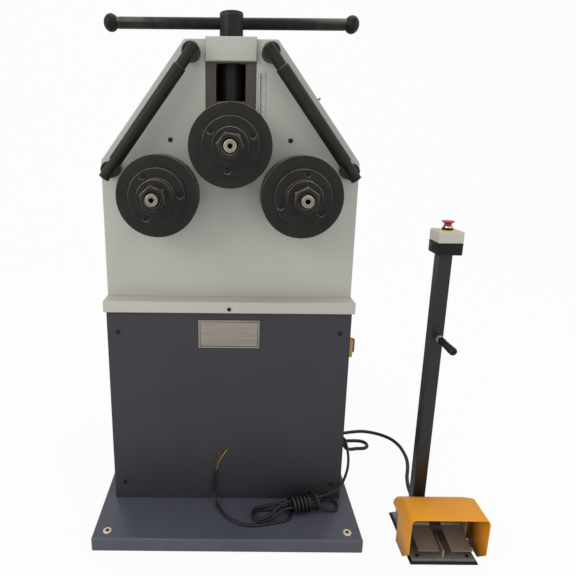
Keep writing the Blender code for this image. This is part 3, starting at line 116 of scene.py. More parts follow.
# Small fittings with no CAD node, placed as the photograph shows them
PANEL_SCREWS = ((-0.273, 0.510), (0.273, 0.510), (-0.273, 0.086), (0.273, 0.086))
WALL_PLUGS = ((-0.139, 0.969), (0.139, 0.969))
SKIRT_SCREW_Z = 0.5725
ANCHOR_X = 0.294
ANCHOR_ROWS = (-0.310, 0.322)
FOOT_SCREWS = ((0.4530, -0.3520), (0.5720, -0.3520))
NIPPLE_AT = (0.199, -0.130, 1.0590)
COVER_INSET = 0.012
COVER_RISES = (0.35, 0.68, 1.0)
COVER_SHARES = (0.36, 0.68, 1.0)
SCALE_MARGIN = 0.004
MARK_T = 0.0005
HOUSING_RUN = 0.1975
HOUSING_RISE = 0.266

# Name plate's border and line, the pointer rod of the slide and the enamelled strips
PLATE_BORDER = 0.0012
LINE_INSET = 0.0035
LINE_W = 0.0014
SLOT_HALF = 0.0574
SLOT_FLOOR = 0.8698
SILL_TOP = 0.8785
SILL_T = 0.0022
POINTER_AT = (0.064, -0.1604)
POINTER_D = 0.0044
POINTER_FOOT = 0.990
POINTER_TOP = 1.1152
COVER_FOOT_W = 0.250
COVER_FOOT_D = 0.014
COVER_FOOT_T = 0.0016

# Base tray, a folded sheet with two stiffeners under it
BASE_SHEET = 0.003
BASE_FOLD_R = 0.0042
STIFFENER_W = 0.060
POCKET_EDGE = 0.0015

# Handle
SPIGOT_D = 0.024
BAR_D = 0.026
KNOB_L = 0.034
HUB_EDGE = 0.006
HUB_CROWN = 0.0015
HUB_RING_OUT = 0.0012
HUB_RING_H = 0.0038
KNOB_NECK = 0.0020
NECK_SHARE = 0.9
BALL_STEPS = 24

# Foot switch
FOOT_X = 0.5125
FOOT_PLATE_T = 0.006
FOOT_BOX_BACK = -0.2262
FOOT_BOX_W = 0.145
GUARD_SHEET = 0.002
TAB_FRONT = -0.3014
TAB_BACK = -0.2976
TAB_FOOT = 0.0145
TAB_TOP = 0.1250
GROMMET_D = 0.020
GROMMET_L = 0.0136
GROMMET_Z = 0.030
GROMMET_WALL = 0.0016
GROMMET_WAIST = 0.8
FOOT_SCREW_D = 0.008

# Button box, its knock-outs as inner radius, outer radius and thickness, and the grip's stud
BOX_EDGE = 0.0022
LIP_OUT = 0.0004
KNOCK_OUT = (0.0058, 0.0072, 0.0005)
COVER_STACK = 0.0097
BUTTON_BORE_R = 0.0092
BUTTON_BORE_FLOOR = 0.004
OVERSHOOT = 0.01
LID_INSET = 0.0052
LID_SCREW_D = 0.0048
YELLOW_T = 0.0012
COLLAR_H = 0.0048
BUTTON_STEM_R = 0.0080
STUD_L = 0.014
STUD_NUT_R = 0.0085
STUD_NUT_T = 0.0055

# Cords, on the routes of the CAD's own
CONTROL_D = 0.0106
MAINS_D = 0.007
GLAND_PLATE_T = 0.0018
GLAND_HEX_R = 0.0127
GLAND_NUT_R = 0.0104
GLAND_BODY_SHARE = 0.36
ROUTE_SPACING_DIAMETERS = 0.75
CURVE_STEPS = 16
CONTROL_ROUTE = (
    (0.3186, 0.0450, 0.1120), (0.3300, 0.0450, 0.1115), (0.3430, 0.0472, 0.1040),
    (0.3530, 0.0520, 0.0850), (0.3590, 0.0580, 0.0600), (0.3660, 0.0640, 0.0340),
    (0.3780, 0.0720, 0.0140), (0.3960, 0.0800, 0.0062), (0.4150, 0.0850, 0.0056),
    (0.4310, 0.0852, 0.0056), (0.4460, 0.0910, 0.0056), (0.4530, 0.1063, 0.0056),
    (0.4460, 0.1216, 0.0056), (0.4310, 0.1276, 0.0056), (0.4120, 0.1282, 0.0056),
    (0.3920, 0.1276, 0.0056), (0.3720, 0.1276, 0.0056), (0.3570, 0.1336, 0.0056),
    (0.3508, 0.1490, 0.0056), (0.3570, 0.1644, 0.0056), (0.3720, 0.1706, 0.0056),
    (0.3940, 0.1740, 0.0056), (0.4230, 0.1805, 0.0056), (0.4560, 0.1845, 0.0056),
    (0.4880, 0.1775, 0.0056), (0.5180, 0.1620, 0.0056), (0.5430, 0.1380, 0.0056),
    (0.5565, 0.1050, 0.0056), (0.5600, 0.0700, 0.0056), (0.5585, 0.0350, 0.0056),
    (0.5510, 0.0020, 0.0056), (0.5405, -0.0280, 0.0056), (0.5295, -0.0560, 0.0056),
    (0.5215, -0.0860, 0.0056), (0.5167, -0.1140, 0.0060), (0.5141, -0.1400, 0.0085),
    (0.5128, -0.1640, 0.0165), (0.5125, -0.1840, 0.0258), (0.5125, -0.1990, 0.0295),
    (0.5125, -0.2125, 0.0300),
)
LEAD_ROUTE = (
    (0.3186, -0.0180, 0.1160), (0.3260, -0.0180, 0.1160), (0.3355, -0.0225, 0.1175),
    (0.3410, -0.0380, 0.1195), (0.3412, -0.0600, 0.1205), (0.3385, -0.0900, 0.1190),
    (0.3335, -0.1250, 0.1160), (0.3255, -0.1550, 0.1070), (0.3135, -0.1790, 0.0955),
    (0.2995, -0.1980, 0.0855), (0.2820, -0.2105, 0.0785), (0.2640, -0.2180, 0.0748),
)
TAIL_ROUTE = (
    (0.0714, -0.2922, 0.0400), (0.0500, -0.2915, 0.0400), (0.0280, -0.2855, 0.0400),
    (0.0065, -0.2725, 0.0400), (-0.0110, -0.2540, 0.0400), (-0.0232, -0.2330, 0.0408),
    (-0.0305, -0.2165, 0.0450), (-0.0345, -0.2055, 0.0560), (-0.0362, -0.2005, 0.0740),
    (-0.0368, -0.1985, 0.0950), (-0.0340, -0.1970, 0.1130), (-0.0300, -0.1965, 0.1260),
)
WIRE_D = 0.0024
WIRE_BARE = 0.010
COPPER_SHARE = 0.55
WIRES = {
    "wire_earth": ("pvc_green_yellow", (
        (-0.0300, -0.1965, 0.1225), (-0.0285, -0.1965, 0.1330), (-0.0245, -0.1960, 0.1480),
        (-0.0170, -0.1955, 0.1640), (-0.0075, -0.1955, 0.1800), (0.0030, -0.1955, 0.1930))),
    "wire_brown": ("pvc_brown", (
        (-0.0303, -0.1965, 0.1225), (-0.0312, -0.1963, 0.1340), (-0.0305, -0.1957, 0.1500),
        (-0.0280, -0.1955, 0.1660), (-0.0230, -0.1957, 0.1815))),
    "wire_grey": ("pvc_grey", (
        (-0.0297, -0.1968, 0.1225), (-0.0296, -0.1975, 0.1340), (-0.0275, -0.1985, 0.1500),
        (-0.0245, -0.1990, 0.1640), (-0.0195, -0.1990, 0.1760))),
}
HANK_ORIGIN = (0.182, -0.238, 0.036)
HANK_SLANT = math.radians(192.6)
HANK_WAIST_HALF = 0.034
HANK_EYE_R = 0.021
HANK_LEFT_EYE_U = 0.100
HANK_RIGHT_EYE_U = -0.087
HANK_REST = 0.0005
HANK_LAYER = 0.0080
WRAP_R = 0.021
WRAP_LOOSE = 0.004
WRAP_PITCH = 0.0100
WRAP_TURNS = 6
WRAP_LOOSE_U = -0.0480
HANK_CROSSING = ((-0.0270, -0.0010, 0.0150), (-0.0380, 0.0004, 0.0118), (-0.0448, 0.0045, 0.0080))
WRAP_POINTS = 24
STRAND_RISE = 0.009
STRAND_DROP = 0.0095
STRAND_SIDE = 0.011
STRAND_LOW = 0.001
STRAND_TOP_EXTRA = 0.0015
EYE_STEPS = 8
LEG_STEPS = 4
HANK_JOIN_U = 0.080
HANK_START_U = -0.058
TAIL_V = 0.0295

# Photograph, and the camera matched to it
PHOTO_PIXELS = 576
FOCAL_PIXELS = 500.0
SENSOR = 0.036
CAMERA_AT = (0.006, -1.3464, 0.964)
CAMERA_PITCH = math.radians(13.7)
CAMERA_ROLL = math.radians(0.5)
PRINCIPAL_POINT = (232.0, 264.4)
CLIP = (0.05, 50)

# Studio: each lamp's diameter and place, where they all aim, and the backdrop
LAMPS = {"key": (2.2, (-2.4, -2.0, 2.4)), "fill": (2.0, (2.2, -1.8, 1.2)), "top": (2.4, (0.2, 0.3, 3.4))}
LAMP_AIM = (0.1, -0.1, 0.6)
FLOOR_FRONT = -6.0
FLOOR_BACK = 2.6
FLOOR_R = 1.4
FLOOR_TOP = 7.0
FLOOR_HALF = 9
FLOOR_STEPS = 12

# Finishes: the sizes of their patterns in millimetres, how far the painted shade in hollows and the rubbed
# edges with their painted highlight reach, and the dark colour of old oil and painted shade
PATCH_MM = 180
RING_MM = 1.6
SMEAR_MM = 38
STREAK_MM = 2.5
FLOW_MM = 9
STRIPE_MM = 14
CLOUD_GRAINS = 18
BUMP_DEPTH = 0.0002
PAINTED_SHADE_REACH = 0.09
OIL_AND_PAINTED_SHADE = "#2A241E"
EDGE_WEAR_AND_HIGHLIGHT = 0.0019


def linear(code):
    """A colour written in sRGB hex, as the linear RGBA that a shader takes."""
    channels = [int(code[index:index + 2], 16) / 255 for index in (1, 3, 5)]
    return (*((c / 12.92 if c <= 0.04045 else ((c + 0.055) / 1.055) ** 2.4) for c in channels), 1.0)


def colour_setting(name, description, code):
    return FloatVectorProperty(name=name, description=description, subtype="COLOR", size=4,
                               min=0, max=1, default=linear(code))


def length_setting(name, description, default):
    return FloatProperty(name=name, description=description, default=default, unit="LENGTH")


def power_setting(name, description, default):
    return FloatProperty(name=name, description=description, default=default, unit="POWER")


class FinishSettings(bpy.types.PropertyGroup):
    """Colours of the painted and moulded finishes."""

    housing: colour_setting("Housing", "Baked enamel of the roller housing", "#C5C4BB")
    cabinet: colour_setting("Cabinet", "Powder coat of the lower cabinet", "#3A3A40")
    skirt: colour_setting("Skirt", "Enamel of the skirt over the cabinet", "#C8C4BB")
    base: colour_setting("Base", "Enamel of the base tray", "#555763")
    pole: colour_setting("Pole", "Enamel of the square pole", "#1E1D22")
    guard: colour_setting("Foot guard", "Enamel of the foot guard", "#FFAA2F")
    stop: colour_setting("Stop button", "Moulded red of the mushroom button", "#B3121F")
    yellow: colour_setting("Yellow", "Moulded yellow of the button's plate", "#EFE03C")
    cover: colour_setting("Box cover", "Moulded beige of the button box's cover", "#CFCABD")


class FastenerSettings(bpy.types.PropertyGroup):
    """Sizes of the small fasteners."""

    panel_screw: length_setting("Panel screw", "Head diameter of the panel screws", 0.0095)
    cover_screw: length_setting("Cover screw", "Head diameter of the back cover screws", 0.010)
    cover_spacing: length_setting("Cover spacing", "Distance between back cover screws", 0.120)
    anchor_washer: length_setting("Anchor washer", "Diameter of the zinc washers", 0.0205)
    wall_plug: length_setting("Wall plug", "Diameter of the plugs in the front plate", 0.0115)
    socket_screw: length_setting("Socket screw", "Head diameter of the flange screws", 0.0115)


class ScaleSettings(bpy.types.PropertyGroup):
    """Marks on the height scale."""

    spacing: length_setting("Spacing", "Distance between two marks", 0.0025)
    mark: length_setting("Short mark", "Length of a short mark", 0.0030)
    every: IntProperty(name="Long mark every", description="Marks from one long mark to the next",
                       default=4, min=2)


class StageSettings(bpy.types.PropertyGroup):
    """Lamps and backdrop."""

    key: power_setting("Key lamp", "Power of the large lamp at the front left", 30.0)
    fill: power_setting("Fill lamp", "Power of the soft lamp at the right", 4.0)
    top: power_setting("Top lamp", "Power of the lamp overhead", 16.0)
    sky: FloatProperty(name="Sky", description="Strength of the even light from all round",
                       default=0.62, min=0)
    floor: colour_setting("Floor", "Colour of the plain floor", "#F4F4F4")
    white: FloatProperty(name="White floor", description="Share of plain white in the floor as seen",
                         default=0.94, min=0, max=1)


def span(node):
    """The lowest and highest corners of a CAD node, as vectors."""
    low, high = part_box(node)
    return Vector(low), Vector(high)


def stations(node):
    """A node's rear and front ends as distances along FRONT."""
    low, high = span(node)
    return -high.y, -low.y


def upright(node):
    """The point on the ground under the middle of a node."""
    low, high = span(node)
    return Vector(((low.x + high.x) / 2, (low.y + high.y) / 2, 0))


def aim(direction):
    """The turn that brings +Z to a direction."""
    return Vector(direction).to_track_quat("Z", "Y").to_matrix().to_4x4()


def linked(name, data):
    """A new object in the scene."""
    obj = bpy.data.objects.new(name, data)
    bpy.context.scene.collection.objects.link(obj)
    return obj


def mesh_object(name, bm, smooth_below=35):
    """An object from bmesh data, smooth except at edges sharper than the angle in degrees."""
    mesh = bpy.data.meshes.new(name)
    bm.to_mesh(mesh)
    bm.free()
    mesh.shade_smooth()
    mesh.set_sharp_from_angle(angle=math.radians(smooth_below))
    return linked(name, mesh)


def baked(obj, smooth_below=35):
    """The object's evaluated shape as a plain mesh object of the same name, at the origin."""
    bpy.context.view_layer.update()
    graph = bpy.context.evaluated_depsgraph_get()
    mesh = bpy.data.meshes.new_from_object(obj.evaluated_get(graph))
    bm = bmesh.new()
    bm.from_mesh(mesh)
    bm.transform(obj.matrix_world)
    bpy.data.meshes.remove(mesh)
    name = obj.name
    bpy.data.objects.remove(obj, do_unlink=True)
    return mesh_object(name, bm, smooth_below)


def keep(obj, material, slot, *nodes, body="frame"):
    """Finishes a piece: its material or finish, the nodes it stands for and its body. The slot argument is
    not used.
    """
    obj.data.materials.clear()
    obj.data.materials.append(finish(material) if isinstance(material, str) else material)
    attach(obj, body)
    if nodes:
        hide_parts(*nodes)
    return obj


def rounded(obj, width, segments=3):
    """Rounds the object's sharp edges."""
    bevel = obj.modifiers.new("round edges", "BEVEL")
    bevel.width = width
    bevel.segments = segments
    bevel.limit_method = "ANGLE"
    bevel.angle_limit = SHARP_ANGLE
    bevel.miter_outer = "MITER_ARC"
    return baked(obj)


def softened(node, width):
    """A copy of a CAD node with its triangles joined, its flats whole and its edges rounded."""
    bm = bmesh.new()
    bm.from_mesh(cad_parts[node].data)
    bmesh.ops.remove_doubles(bm, verts=bm.verts, dist=MERGE)
    bmesh.ops.dissolve_limit(bm, angle_limit=FLAT_ANGLE, verts=bm.verts, edges=bm.edges)
    obj = mesh_object(f"{node}_fine", bm)
    return rounded(obj, width) if width else obj


def slab(name, low, high, edge, segments=3):
    """A box between two corners with rounded edges."""
    low, high = Vector(low), Vector(high)
    bm = bmesh.new()
    bmesh.ops.create_cube(bm, size=1.0)
    bm.transform(Matrix.Translation((low + high) / 2) @ Matrix.Diagonal((*(high - low), 1)))
    return rounded(mesh_object(name, bm), edge, segments)


def fillet(corners, steps=4):
    """A profile of (x, y, radius) corners as points, with an arc of its radius at each corner."""
    points = []
    count = len(corners)
    for index, (x, y, radius) in enumerate(corners):
        here = Vector((x, y))
        if not radius:
            points.append((x, y))
            continue
        before = (Vector(corners[index - 1][:2]) - here).normalized()
        after = (Vector(corners[(index + 1) % count][:2]) - here).normalized()
        half = before.angle(after) / 2
        reach = radius / math.tan(half)
        centre = here + (before + after).normalized() * (radius / math.sin(half))
        start = here + before * reach - centre
        sweep = start.angle_signed(here + after * reach - centre)
        for step in range(steps + 1):
            points.append(tuple(centre + Matrix.Rotation(-sweep * step / steps, 2) @ start))
    return points


def lathe(name, profile, start=(0, 0, 0), direction=UP, steps=96):
    """A profile of (radius, station) points, or of corners with an edge radius as well, turned
    about an axis. A closed loop that never meets the axis makes a ring, and one that starts and
    ends on it makes a solid."""
    if len(profile[0]) == 3:
        profile = fillet(profile)
    solid = profile[0][0] == 0
    place = Matrix.Translation(start) @ aim(Vector(direction).normalized())
    bm = bmesh.new()
    rings = []
    for radius, station in profile:
        if radius == 0:
            rings.append([bm.verts.new((0, 0, station))] * steps)
            continue
        rings.append([bm.verts.new((radius * math.cos(2 * math.pi * step / steps),
                                    radius * math.sin(2 * math.pi * step / steps), station))
                      for step in range(steps)])
    pairs = list(zip(rings, rings[1:])) + ([] if solid else [(rings[-1], rings[0])])
    for first, second in pairs:
        for step in range(steps):
            after = (step + 1) % steps
            loop = [first[step], first[after], second[after], second[step]]
            corners = [vert for index, vert in enumerate(loop) if vert not in loop[:index]]
            if len(corners) > 2:
                bm.faces.new(corners)
    bmesh.ops.recalc_face_normals(bm, faces=bm.faces)
    if bm.calc_volume(signed=True) < 0:
        bmesh.ops.reverse_faces(bm, faces=bm.faces)
    bm.transform(place)
    return mesh_object(name, bm)


def step_corners(inner, outer, foot, top, lower_edge, upper_edge):
    """The corners of a plain ring, or of a plain round bar where the inner radius is 0."""
    return [(inner, foot, 0), (outer, foot, lower_edge), (outer, top, upper_edge), (inner, top, 0)]


def drill(radius, near, far, start, direction, steps):
    """A plain round cutter between two stations."""
    return lathe("drill", [(0, near), (radius, near), (radius, far), (0, far)], start, direction, steps)


def hexagon(radius, first=0):
    """The corners of a hexagon, the first one at an angle in degrees."""
    angles = [math.radians(first + 60 * turn) for turn in range(6)]
    return [(radius * math.cos(angle), radius * math.sin(angle)) for angle in angles]


def prism(name, points, near, far, frame_matrix):
    """A flat outline pushed from one distance to another along the frame's Z."""
    bm = bmesh.new()
    ends = [[bm.verts.new((x, y, z)) for x, y in points] for z in (near, far)]
    bm.faces.new(reversed(ends[0]))
    bm.faces.new(ends[1])
    for index in range(len(points)):
        after = (index + 1) % len(points)
        bm.faces.new([ends[0][index], ends[0][after], ends[1][after], ends[1][index]])
    if bm.calc_volume(signed=True) < 0:
        bmesh.ops.reverse_faces(bm, faces=bm.faces)
    bm.transform(frame_matrix)
    return mesh_object(name, bm)


def combined(obj, others, operation):
    """Applies an exact Boolean with each of the other objects, which are then removed."""
    for other in others:
        boolean = obj.modifiers.new("combine", "BOOLEAN")
        boolean.operation = operation
        boolean.solver = "EXACT"
        boolean.object = other
    result = baked(obj)
    for other in others:
        bpy.data.objects.remove(other, do_unlink=True)
    return result


def joined(name, objects):
    """Several objects as one mesh."""
    bm = bmesh.new()
    for obj in objects:
        bm.from_mesh(obj.data)
        bpy.data.objects.remove(obj, do_unlink=True)
    return mesh_object(name, bm)


def add_node(tree, kind, inputs=None, **settings):
    """Adds a node with its settings. An input takes a value or another node's output."""
    node = tree.nodes.new(kind)
    for name, value in settings.items():
        setattr(node, name, value)
    for socket, value in (inputs or {}).items():
        if isinstance(value, bpy.types.NodeSocket):
            tree.links.new(value, node.inputs[socket])
        else:
            node.inputs[socket].default_value = value
    return node


def output(tree, kind, inputs=None, which=0, **settings):
    """Adds a node and gives one of its outputs."""
    return add_node(tree, kind, inputs, **settings).outputs[which]


def per_metre(millimetres):
    """A texture's scale for features of this size."""
    return 1000 / millimetres


def shade(colour):
    """A colour given in hex, or by its name in the settings."""
    if colour.startswith("#"):
        return linear(colour)
    return tuple(getattr(bpy.context.scene.ring_roller_finishes, colour))


def darker(colour, share):
    return (*(channel * share for channel in colour[:3]), 1.0)


class Surface:
    """A material in the making: its shader, and short forms of the nodes that feed it."""

    def __init__(self, name, **values):
        self.material = bpy.data.materials.new(name)
        self.material.use_nodes = True
        self.tree = self.material.node_tree
        self.shader = self.tree.nodes["Principled BSDF"]
        for socket, value in values.items():
            self.shader.inputs[socket.replace("_", " ")].default_value = value
        self.where = self.node("ShaderNodeTexCoord", None, "Object")

    def node(self, kind, inputs=None, which=0, **settings):
        return output(self.tree, kind, inputs, which, **settings)

    def noise(self, millimetres, detail, roughness=0.5, where=None):
        """Noise with features of this size."""
        return self.node("ShaderNodeTexNoise",
                         {"Vector": where or self.where, "Scale": per_metre(millimetres),
                          "Detail": detail, "Roughness": roughness}, "Fac")

    def spread(self, value, low=0.0, high=1.0, start=0.0, end=1.0):
        """A value's stretch from low to high as the stretch from start to end."""
        return self.node("ShaderNodeMapRange", {"Value": value, "From Min": low, "From Max": high,
                                                "To Min": start, "To Max": end})

    def blend(self, share, first, second):
        return self.node("ShaderNodeMix", {0: share, 6: first, 7: second}, 2, data_type="RGBA")

    def maths(self, operation, first, second):
        return self.node("ShaderNodeMath", {0: first, 1: second}, operation=operation)

    def vector(self, operation, *values):
        which = "Value" if operation in ("DOT_PRODUCT", "LENGTH") else "Vector"
        return self.node("ShaderNodeVectorMath", dict(enumerate(values)), which, operation=operation)

    def bump(self, height, strength, depth):
        return self.node("ShaderNodeBump", {"Height": height, "Strength": strength, "Distance": depth})

    def done(self, **outputs):
        """Feeds the shader's sockets and gives the material."""
        for socket, value in outputs.items():
            self.tree.links.new(value, self.shader.inputs[socket.replace("_", " ")])
        return self.material


def painted(name, colour, roughness, peel_mm, peel_depth, soil, specular=0.5, hollow_shade=1.0):
    """Baked enamel or powder coat on sheet steel: one even colour that darkens a little in broad patches
    from handling, over the fine orange peel of sprayed paint. Where hollow_shade is below 1, its hollows
    are darkened as well, and that is painted shade."""
    paint = Surface(name, Specular_IOR_Level=specular)
    patches = paint.noise(PATCH_MM, 5, 0.6)
    clean = shade(colour)
    tint = paint.blend(paint.spread(patches, 0.35, 0.7), clean, darker(clean, soil))
    if hollow_shade < 1:
        # painted shade: the colour darkens where ambient occlusion finds the surface enclosed
        openness = paint.node("ShaderNodeAmbientOcclusion", {"Distance": PAINTED_SHADE_REACH}, "AO", samples=8)
        share = paint.spread(openness, 0.3, 0.9, hollow_shade)
        tint = paint.node("ShaderNodeVectorMath", {0: tint, 3: share}, operation="SCALE")
    return paint.done(Base_Color=tint, Normal=paint.bump(paint.noise(peel_mm, 2), 0.35, peel_depth),
                      Roughness=paint.spread(patches, start=roughness - 0.06, end=roughness + 0.08))


def edge_wear_and_highlight(metal):
    """How far a surface is made bright along its edges, partly rubbed and partly a painted highlight: 0 on
    flats, up to 1 on sharp edges that face upwards, and little on those that face down. The weighting
    towards upward edges is a painted highlight, where light from above catches them."""
    round_normal = metal.node("ShaderNodeBevel", {"Radius": EDGE_WEAR_AND_HIGHLIGHT}, samples=6)
    true_normal = metal.node("ShaderNodeNewGeometry", None, "True Normal")
    edge = metal.spread(metal.vector("DOT_PRODUCT", round_normal, true_normal), 0.99, 0.90)
    # painted highlight: edges that face up are made brighter than those that face down
    painted_top_highlight = metal.spread(metal.vector("DOT_PRODUCT", round_normal, UP), -0.1, 0.45, 0.10)
    return metal.maths("MULTIPLY", edge, painted_top_highlight)


def turned_metal(name, codes, metallic, roughness, centre, axis, clean=(0.0, 1.0)):
    """Steel turned on a lathe: rings about its axis, a little lighter where the tool left a ridge, and
    bright along its edges, partly rubbed and partly a painted highlight. Black oxide leaves it near black
    with a satin gloss, bare steel stays bright between two radii, and within and beyond them it is dark,
    partly old oil and partly painted shade."""
    metal = Surface(name, Specular_IOR_Level=0.2)
    flat = {"X": (0, 1, 1), "Y": (1, 0, 1), "Z": (1, 1, 0)}[axis]
    offset = metal.vector("SUBTRACT", metal.where, centre)
    radius = metal.vector("LENGTH", metal.vector("MULTIPLY", offset, flat))
    rings = metal.node("ShaderNodeTexNoise", {"W": radius, "Scale": per_metre(RING_MM), "Detail": 2},
                       "Fac", noise_dimensions="1D")
    smears = metal.noise(SMEAR_MM, 6, 0.65)
    ridges = metal.spread(metal.maths("MULTIPLY", rings, smears), 0.18, 0.42)
    rub_and_highlight = metal.maths("MULTIPLY", edge_wear_and_highlight(metal), metal.spread(smears, 0.25, 0.5))
    body, worn, edge = (linear(code) for code in codes)
    steel = metal.blend(rub_and_highlight, metal.blend(ridges, body, worn), edge)
    # old oil and painted shade: dark inside the inner radius and beyond the outer one
    wiped_and_lit = metal.maths("MULTIPLY", metal.maths("GREATER_THAN", radius, clean[0]),
                        metal.maths("LESS_THAN", radius, clean[1]))
    return metal.done(Base_Color=metal.blend(wiped_and_lit, linear(OIL_AND_PAINTED_SHADE), steel),
                      Metallic=metal.spread(rub_and_highlight, start=metallic),
                      Normal=metal.bump(rings, 0.12, BUMP_DEPTH),
                      Roughness=metal.spread(smears, start=roughness - 0.08, end=roughness + 0.12))


def streaked(name, dark_code, light_code, metallic, stretch, roughness):
    """Ground or brushed steel: streaks along the direction in which it was rubbed, where it is a
    little brighter and smoother."""
    steel = Surface(name, Metallic=metallic)
    drawn = steel.node("ShaderNodeMapping", {"Vector": steel.where, "Scale": stretch})
    streaks = steel.noise(STREAK_MM, 6, 0.7, drawn)
    tint = steel.blend(steel.spread(streaks, 0.3, 0.7), linear(dark_code), linear(light_code))
    return steel.done(Base_Color=tint, Normal=steel.bump(streaks, 0.15, BUMP_DEPTH),
                      Roughness=steel.spread(streaks, start=roughness - 0.1, end=roughness + 0.15))


def grained(name, code, grain_mm, roughness, metallic=0.0, fleck_code=None, depth=0.00008,
            specular=0.5):
    """Moulded plastic, rubber, cast iron or plate: an even colour with a fine grain in its surface
    and, where a second colour is given, flecks of it."""
    stuff = Surface(name, Metallic=metallic, Roughness=roughness, Specular_IOR_Level=specular)
    base = linear(code)
    other = linear(fleck_code) if fleck_code else darker(base, 0.82)
    cloud = stuff.spread(stuff.noise(grain_mm * CLOUD_GRAINS, 5), 0.4, 0.7)
    return stuff.done(Base_Color=stuff.blend(cloud, base, other),
                      Normal=stuff.bump(stuff.noise(grain_mm, 3), 0.3, depth))


def moulded(name, colour, roughness):
    """Glossy injection-moulded plastic, with the faint flow of its filling."""
    plastic = Surface(name, Coat_Weight=0.2, Coat_Roughness=0.1)
    flow = plastic.noise(FLOW_MM, 3)
    pure = shade(colour)
    return plastic.done(Base_Color=plastic.blend(flow, pure, darker(pure, 0.86)),
                        Roughness=plastic.spread(flow, start=roughness - 0.05, end=roughness + 0.08))


def earth_insulation(name):
    """PVC wire in the two colours of an earth conductor, green with a yellow stripe."""
    wire = Surface(name, Roughness=0.4)
    stripe = wire.node("ShaderNodeTexWave", {"Vector": wire.where, "Scale": per_metre(STRIPE_MM)}, "Fac",
                       bands_direction="DIAGONAL")
    ramp = add_node(wire.tree, "ShaderNodeValToRGB", {"Fac": stripe})
    ramp.color_ramp.interpolation = "CONSTANT"
    yellow, green = ramp.color_ramp.elements
    yellow.color = linear("#C9B628")
    green.position = 0.62
    green.color = linear("#3E6B33")
    return wire.done(Base_Color=ramp.outputs["Color"])


# Every finish by its real material: how it is made, its colour or colours, and its other values
FINISHES = {
    "baked_enamel": (painted, "housing", 0.42, 1.8, 0.00012, 0.93),
    "cabinet_powder_coat": (painted, "cabinet", 0.50, 1.2, 0.00015, 0.86, 0.35),
    "skirt_enamel": (painted, "skirt", 0.42, 1.8, 0.00012, 0.95),
    "base_enamel": (painted, "base", 0.27, 2.2, 0.00010, 0.86),
    "pole_enamel": (painted, "pole", 0.36, 2.0, 0.00008, 0.80, 0.45),
    # The guard's last value, 0.22, darkens its hollows with painted shade
    "guard_enamel": (painted, "guard", 0.40, 1.6, 0.00010, 0.92, 0.3, 0.22),
    "oiled_ground_steel": (streaked, "#3A3630", "#59534B", 0.35, (1, 1, 0.2), 0.42),
    "brushed_plate": (streaked, "#8F887F", "#ABA399", 0.85, (0.05, 1, 1), 0.36),
    "cast_iron": (grained, "#3B3B3D", 1.5, 0.55, 0.5, None, 0.0002),
    "machine_paint": (grained, "#4B5661", 2.5, 0.5, 0.0, None, 0.0002),
    "bronze": (grained, "#B08A4C", 2.0, 0.35, 1.0),
    "rubber": (grained, "#1D1D1D", 1.2, 0.75, 0.0, None, 0.0002),
    "cable_pvc": (grained, "#1C1C1D", 1.5, 0.42, 0.0, None, 0.00008, 0.35),
    "black_polyamide": (grained, "#181718", 0.9, 0.45, 0.0, None, 0.00008, 0.2),
    "grip_plastic": (grained, "#141415", 1.1, 0.32, 0.0, None, 0.00008, 0.35),
    "brown_plated_steel": (grained, "#86807A", 2.2, 0.42, 0.25, "#736D67"),
    "grey_plated_steel": (grained, "#8B8A85", 2.2, 0.42, 0.25, "#767470"),
    "zinc_plate": (grained, "#DAD6C8", 1.8, 0.30, 1.0, "#D8CCA8"),
    "white_zinc": (grained, "#F4F2EA", 1.8, 0.38, 0.6, "#E9E2C6"),
    "yellow_zinc": (grained, "#B8892F", 1.2, 0.32, 1.0, "#8F6A22"),
    "black_screw_steel": (grained, "#202022", 1.0, 0.40, 0.5),
    "brushed_steel": (grained, "#A9A8A4", 0.8, 0.34, 1.0),
    "chrome": (grained, "#C9C7C2", 2.0, 0.15, 1.0),
    "copper": (grained, "#C77B45", 1.0, 0.35, 1.0),
    "ink": (grained, "#1E1E20", 1.0, 0.6),
    "beige_abs": (moulded, "cover", 0.42),
    "red_abs": (moulded, "stop", 0.30),
    "yellow_abs": (moulded, "yellow", 0.35),
    "switch_yellow_abs": (moulded, "#C79E4A", 0.35),
    "switch_red_abs": (moulded, "#7E1A1C", 0.30),
    "pvc_green_yellow": (earth_insulation,),
    "pvc_brown": (grained, "#5E3A22", 1.5, 0.4),
    "pvc_grey": (grained, "#4B4B50", 1.5, 0.4),
}
MATERIALS = {}


def finish(name):
    """A material by its name, made the first time that it is asked for."""
    if name not in MATERIALS:
        maker, *values = FINISHES[name]
        MATERIALS[name] = maker(name, *values)
    return MATERIALS[name]


def black_oxide(name, centre, axis="Y", code="#201E1B"):
    """Turned steel blackened in a bath of oxide: near black, and bright along its edges, partly rubbed and
    partly a painted highlight on those that face up.
    """
    return turned_metal(f"black_oxide_{name}", (code, "#2F2C28", "#BDB6AA"), 0.0, 0.38, centre, axis)


def bright_turned(name, centre):
    """Bare turned steel on a shaft's face, dark in its centre hole and round its rim: old oil and painted
    shade.
    """
    return turned_metal(f"turned_steel_{name}", ("#857D72", "#B2A99B", "#CFC7BA"), 1.0, 0.30, centre,
                        "Y", (CENTRE_HOLE_D / 2, SHAFT_TIP_D / 2 + SKIN))


# Every CAD node that keeps its shape, with its finish
KEPT_NODES = {
    "screw_nut": "bronze", "gib_left": "oiled_ground_steel", "gib_right": "oiled_ground_steel",
    "bearing_cover_left": "cast_iron", "bearing_cover_right": "cast_iron",
    "rear_bearing_plate": "cast_iron", "gearbox": "machine_paint", "motor": "machine_paint",
    "gear_left": "cast_iron", "gear_right": "cast_iron", "drive_pinion": "cast_iron",
    "slide_block": "oiled_ground_steel", "slide_cover": "oiled_ground_steel",
    "pedal_axle": "black_screw_steel", "foot_mat": "rubber",
}

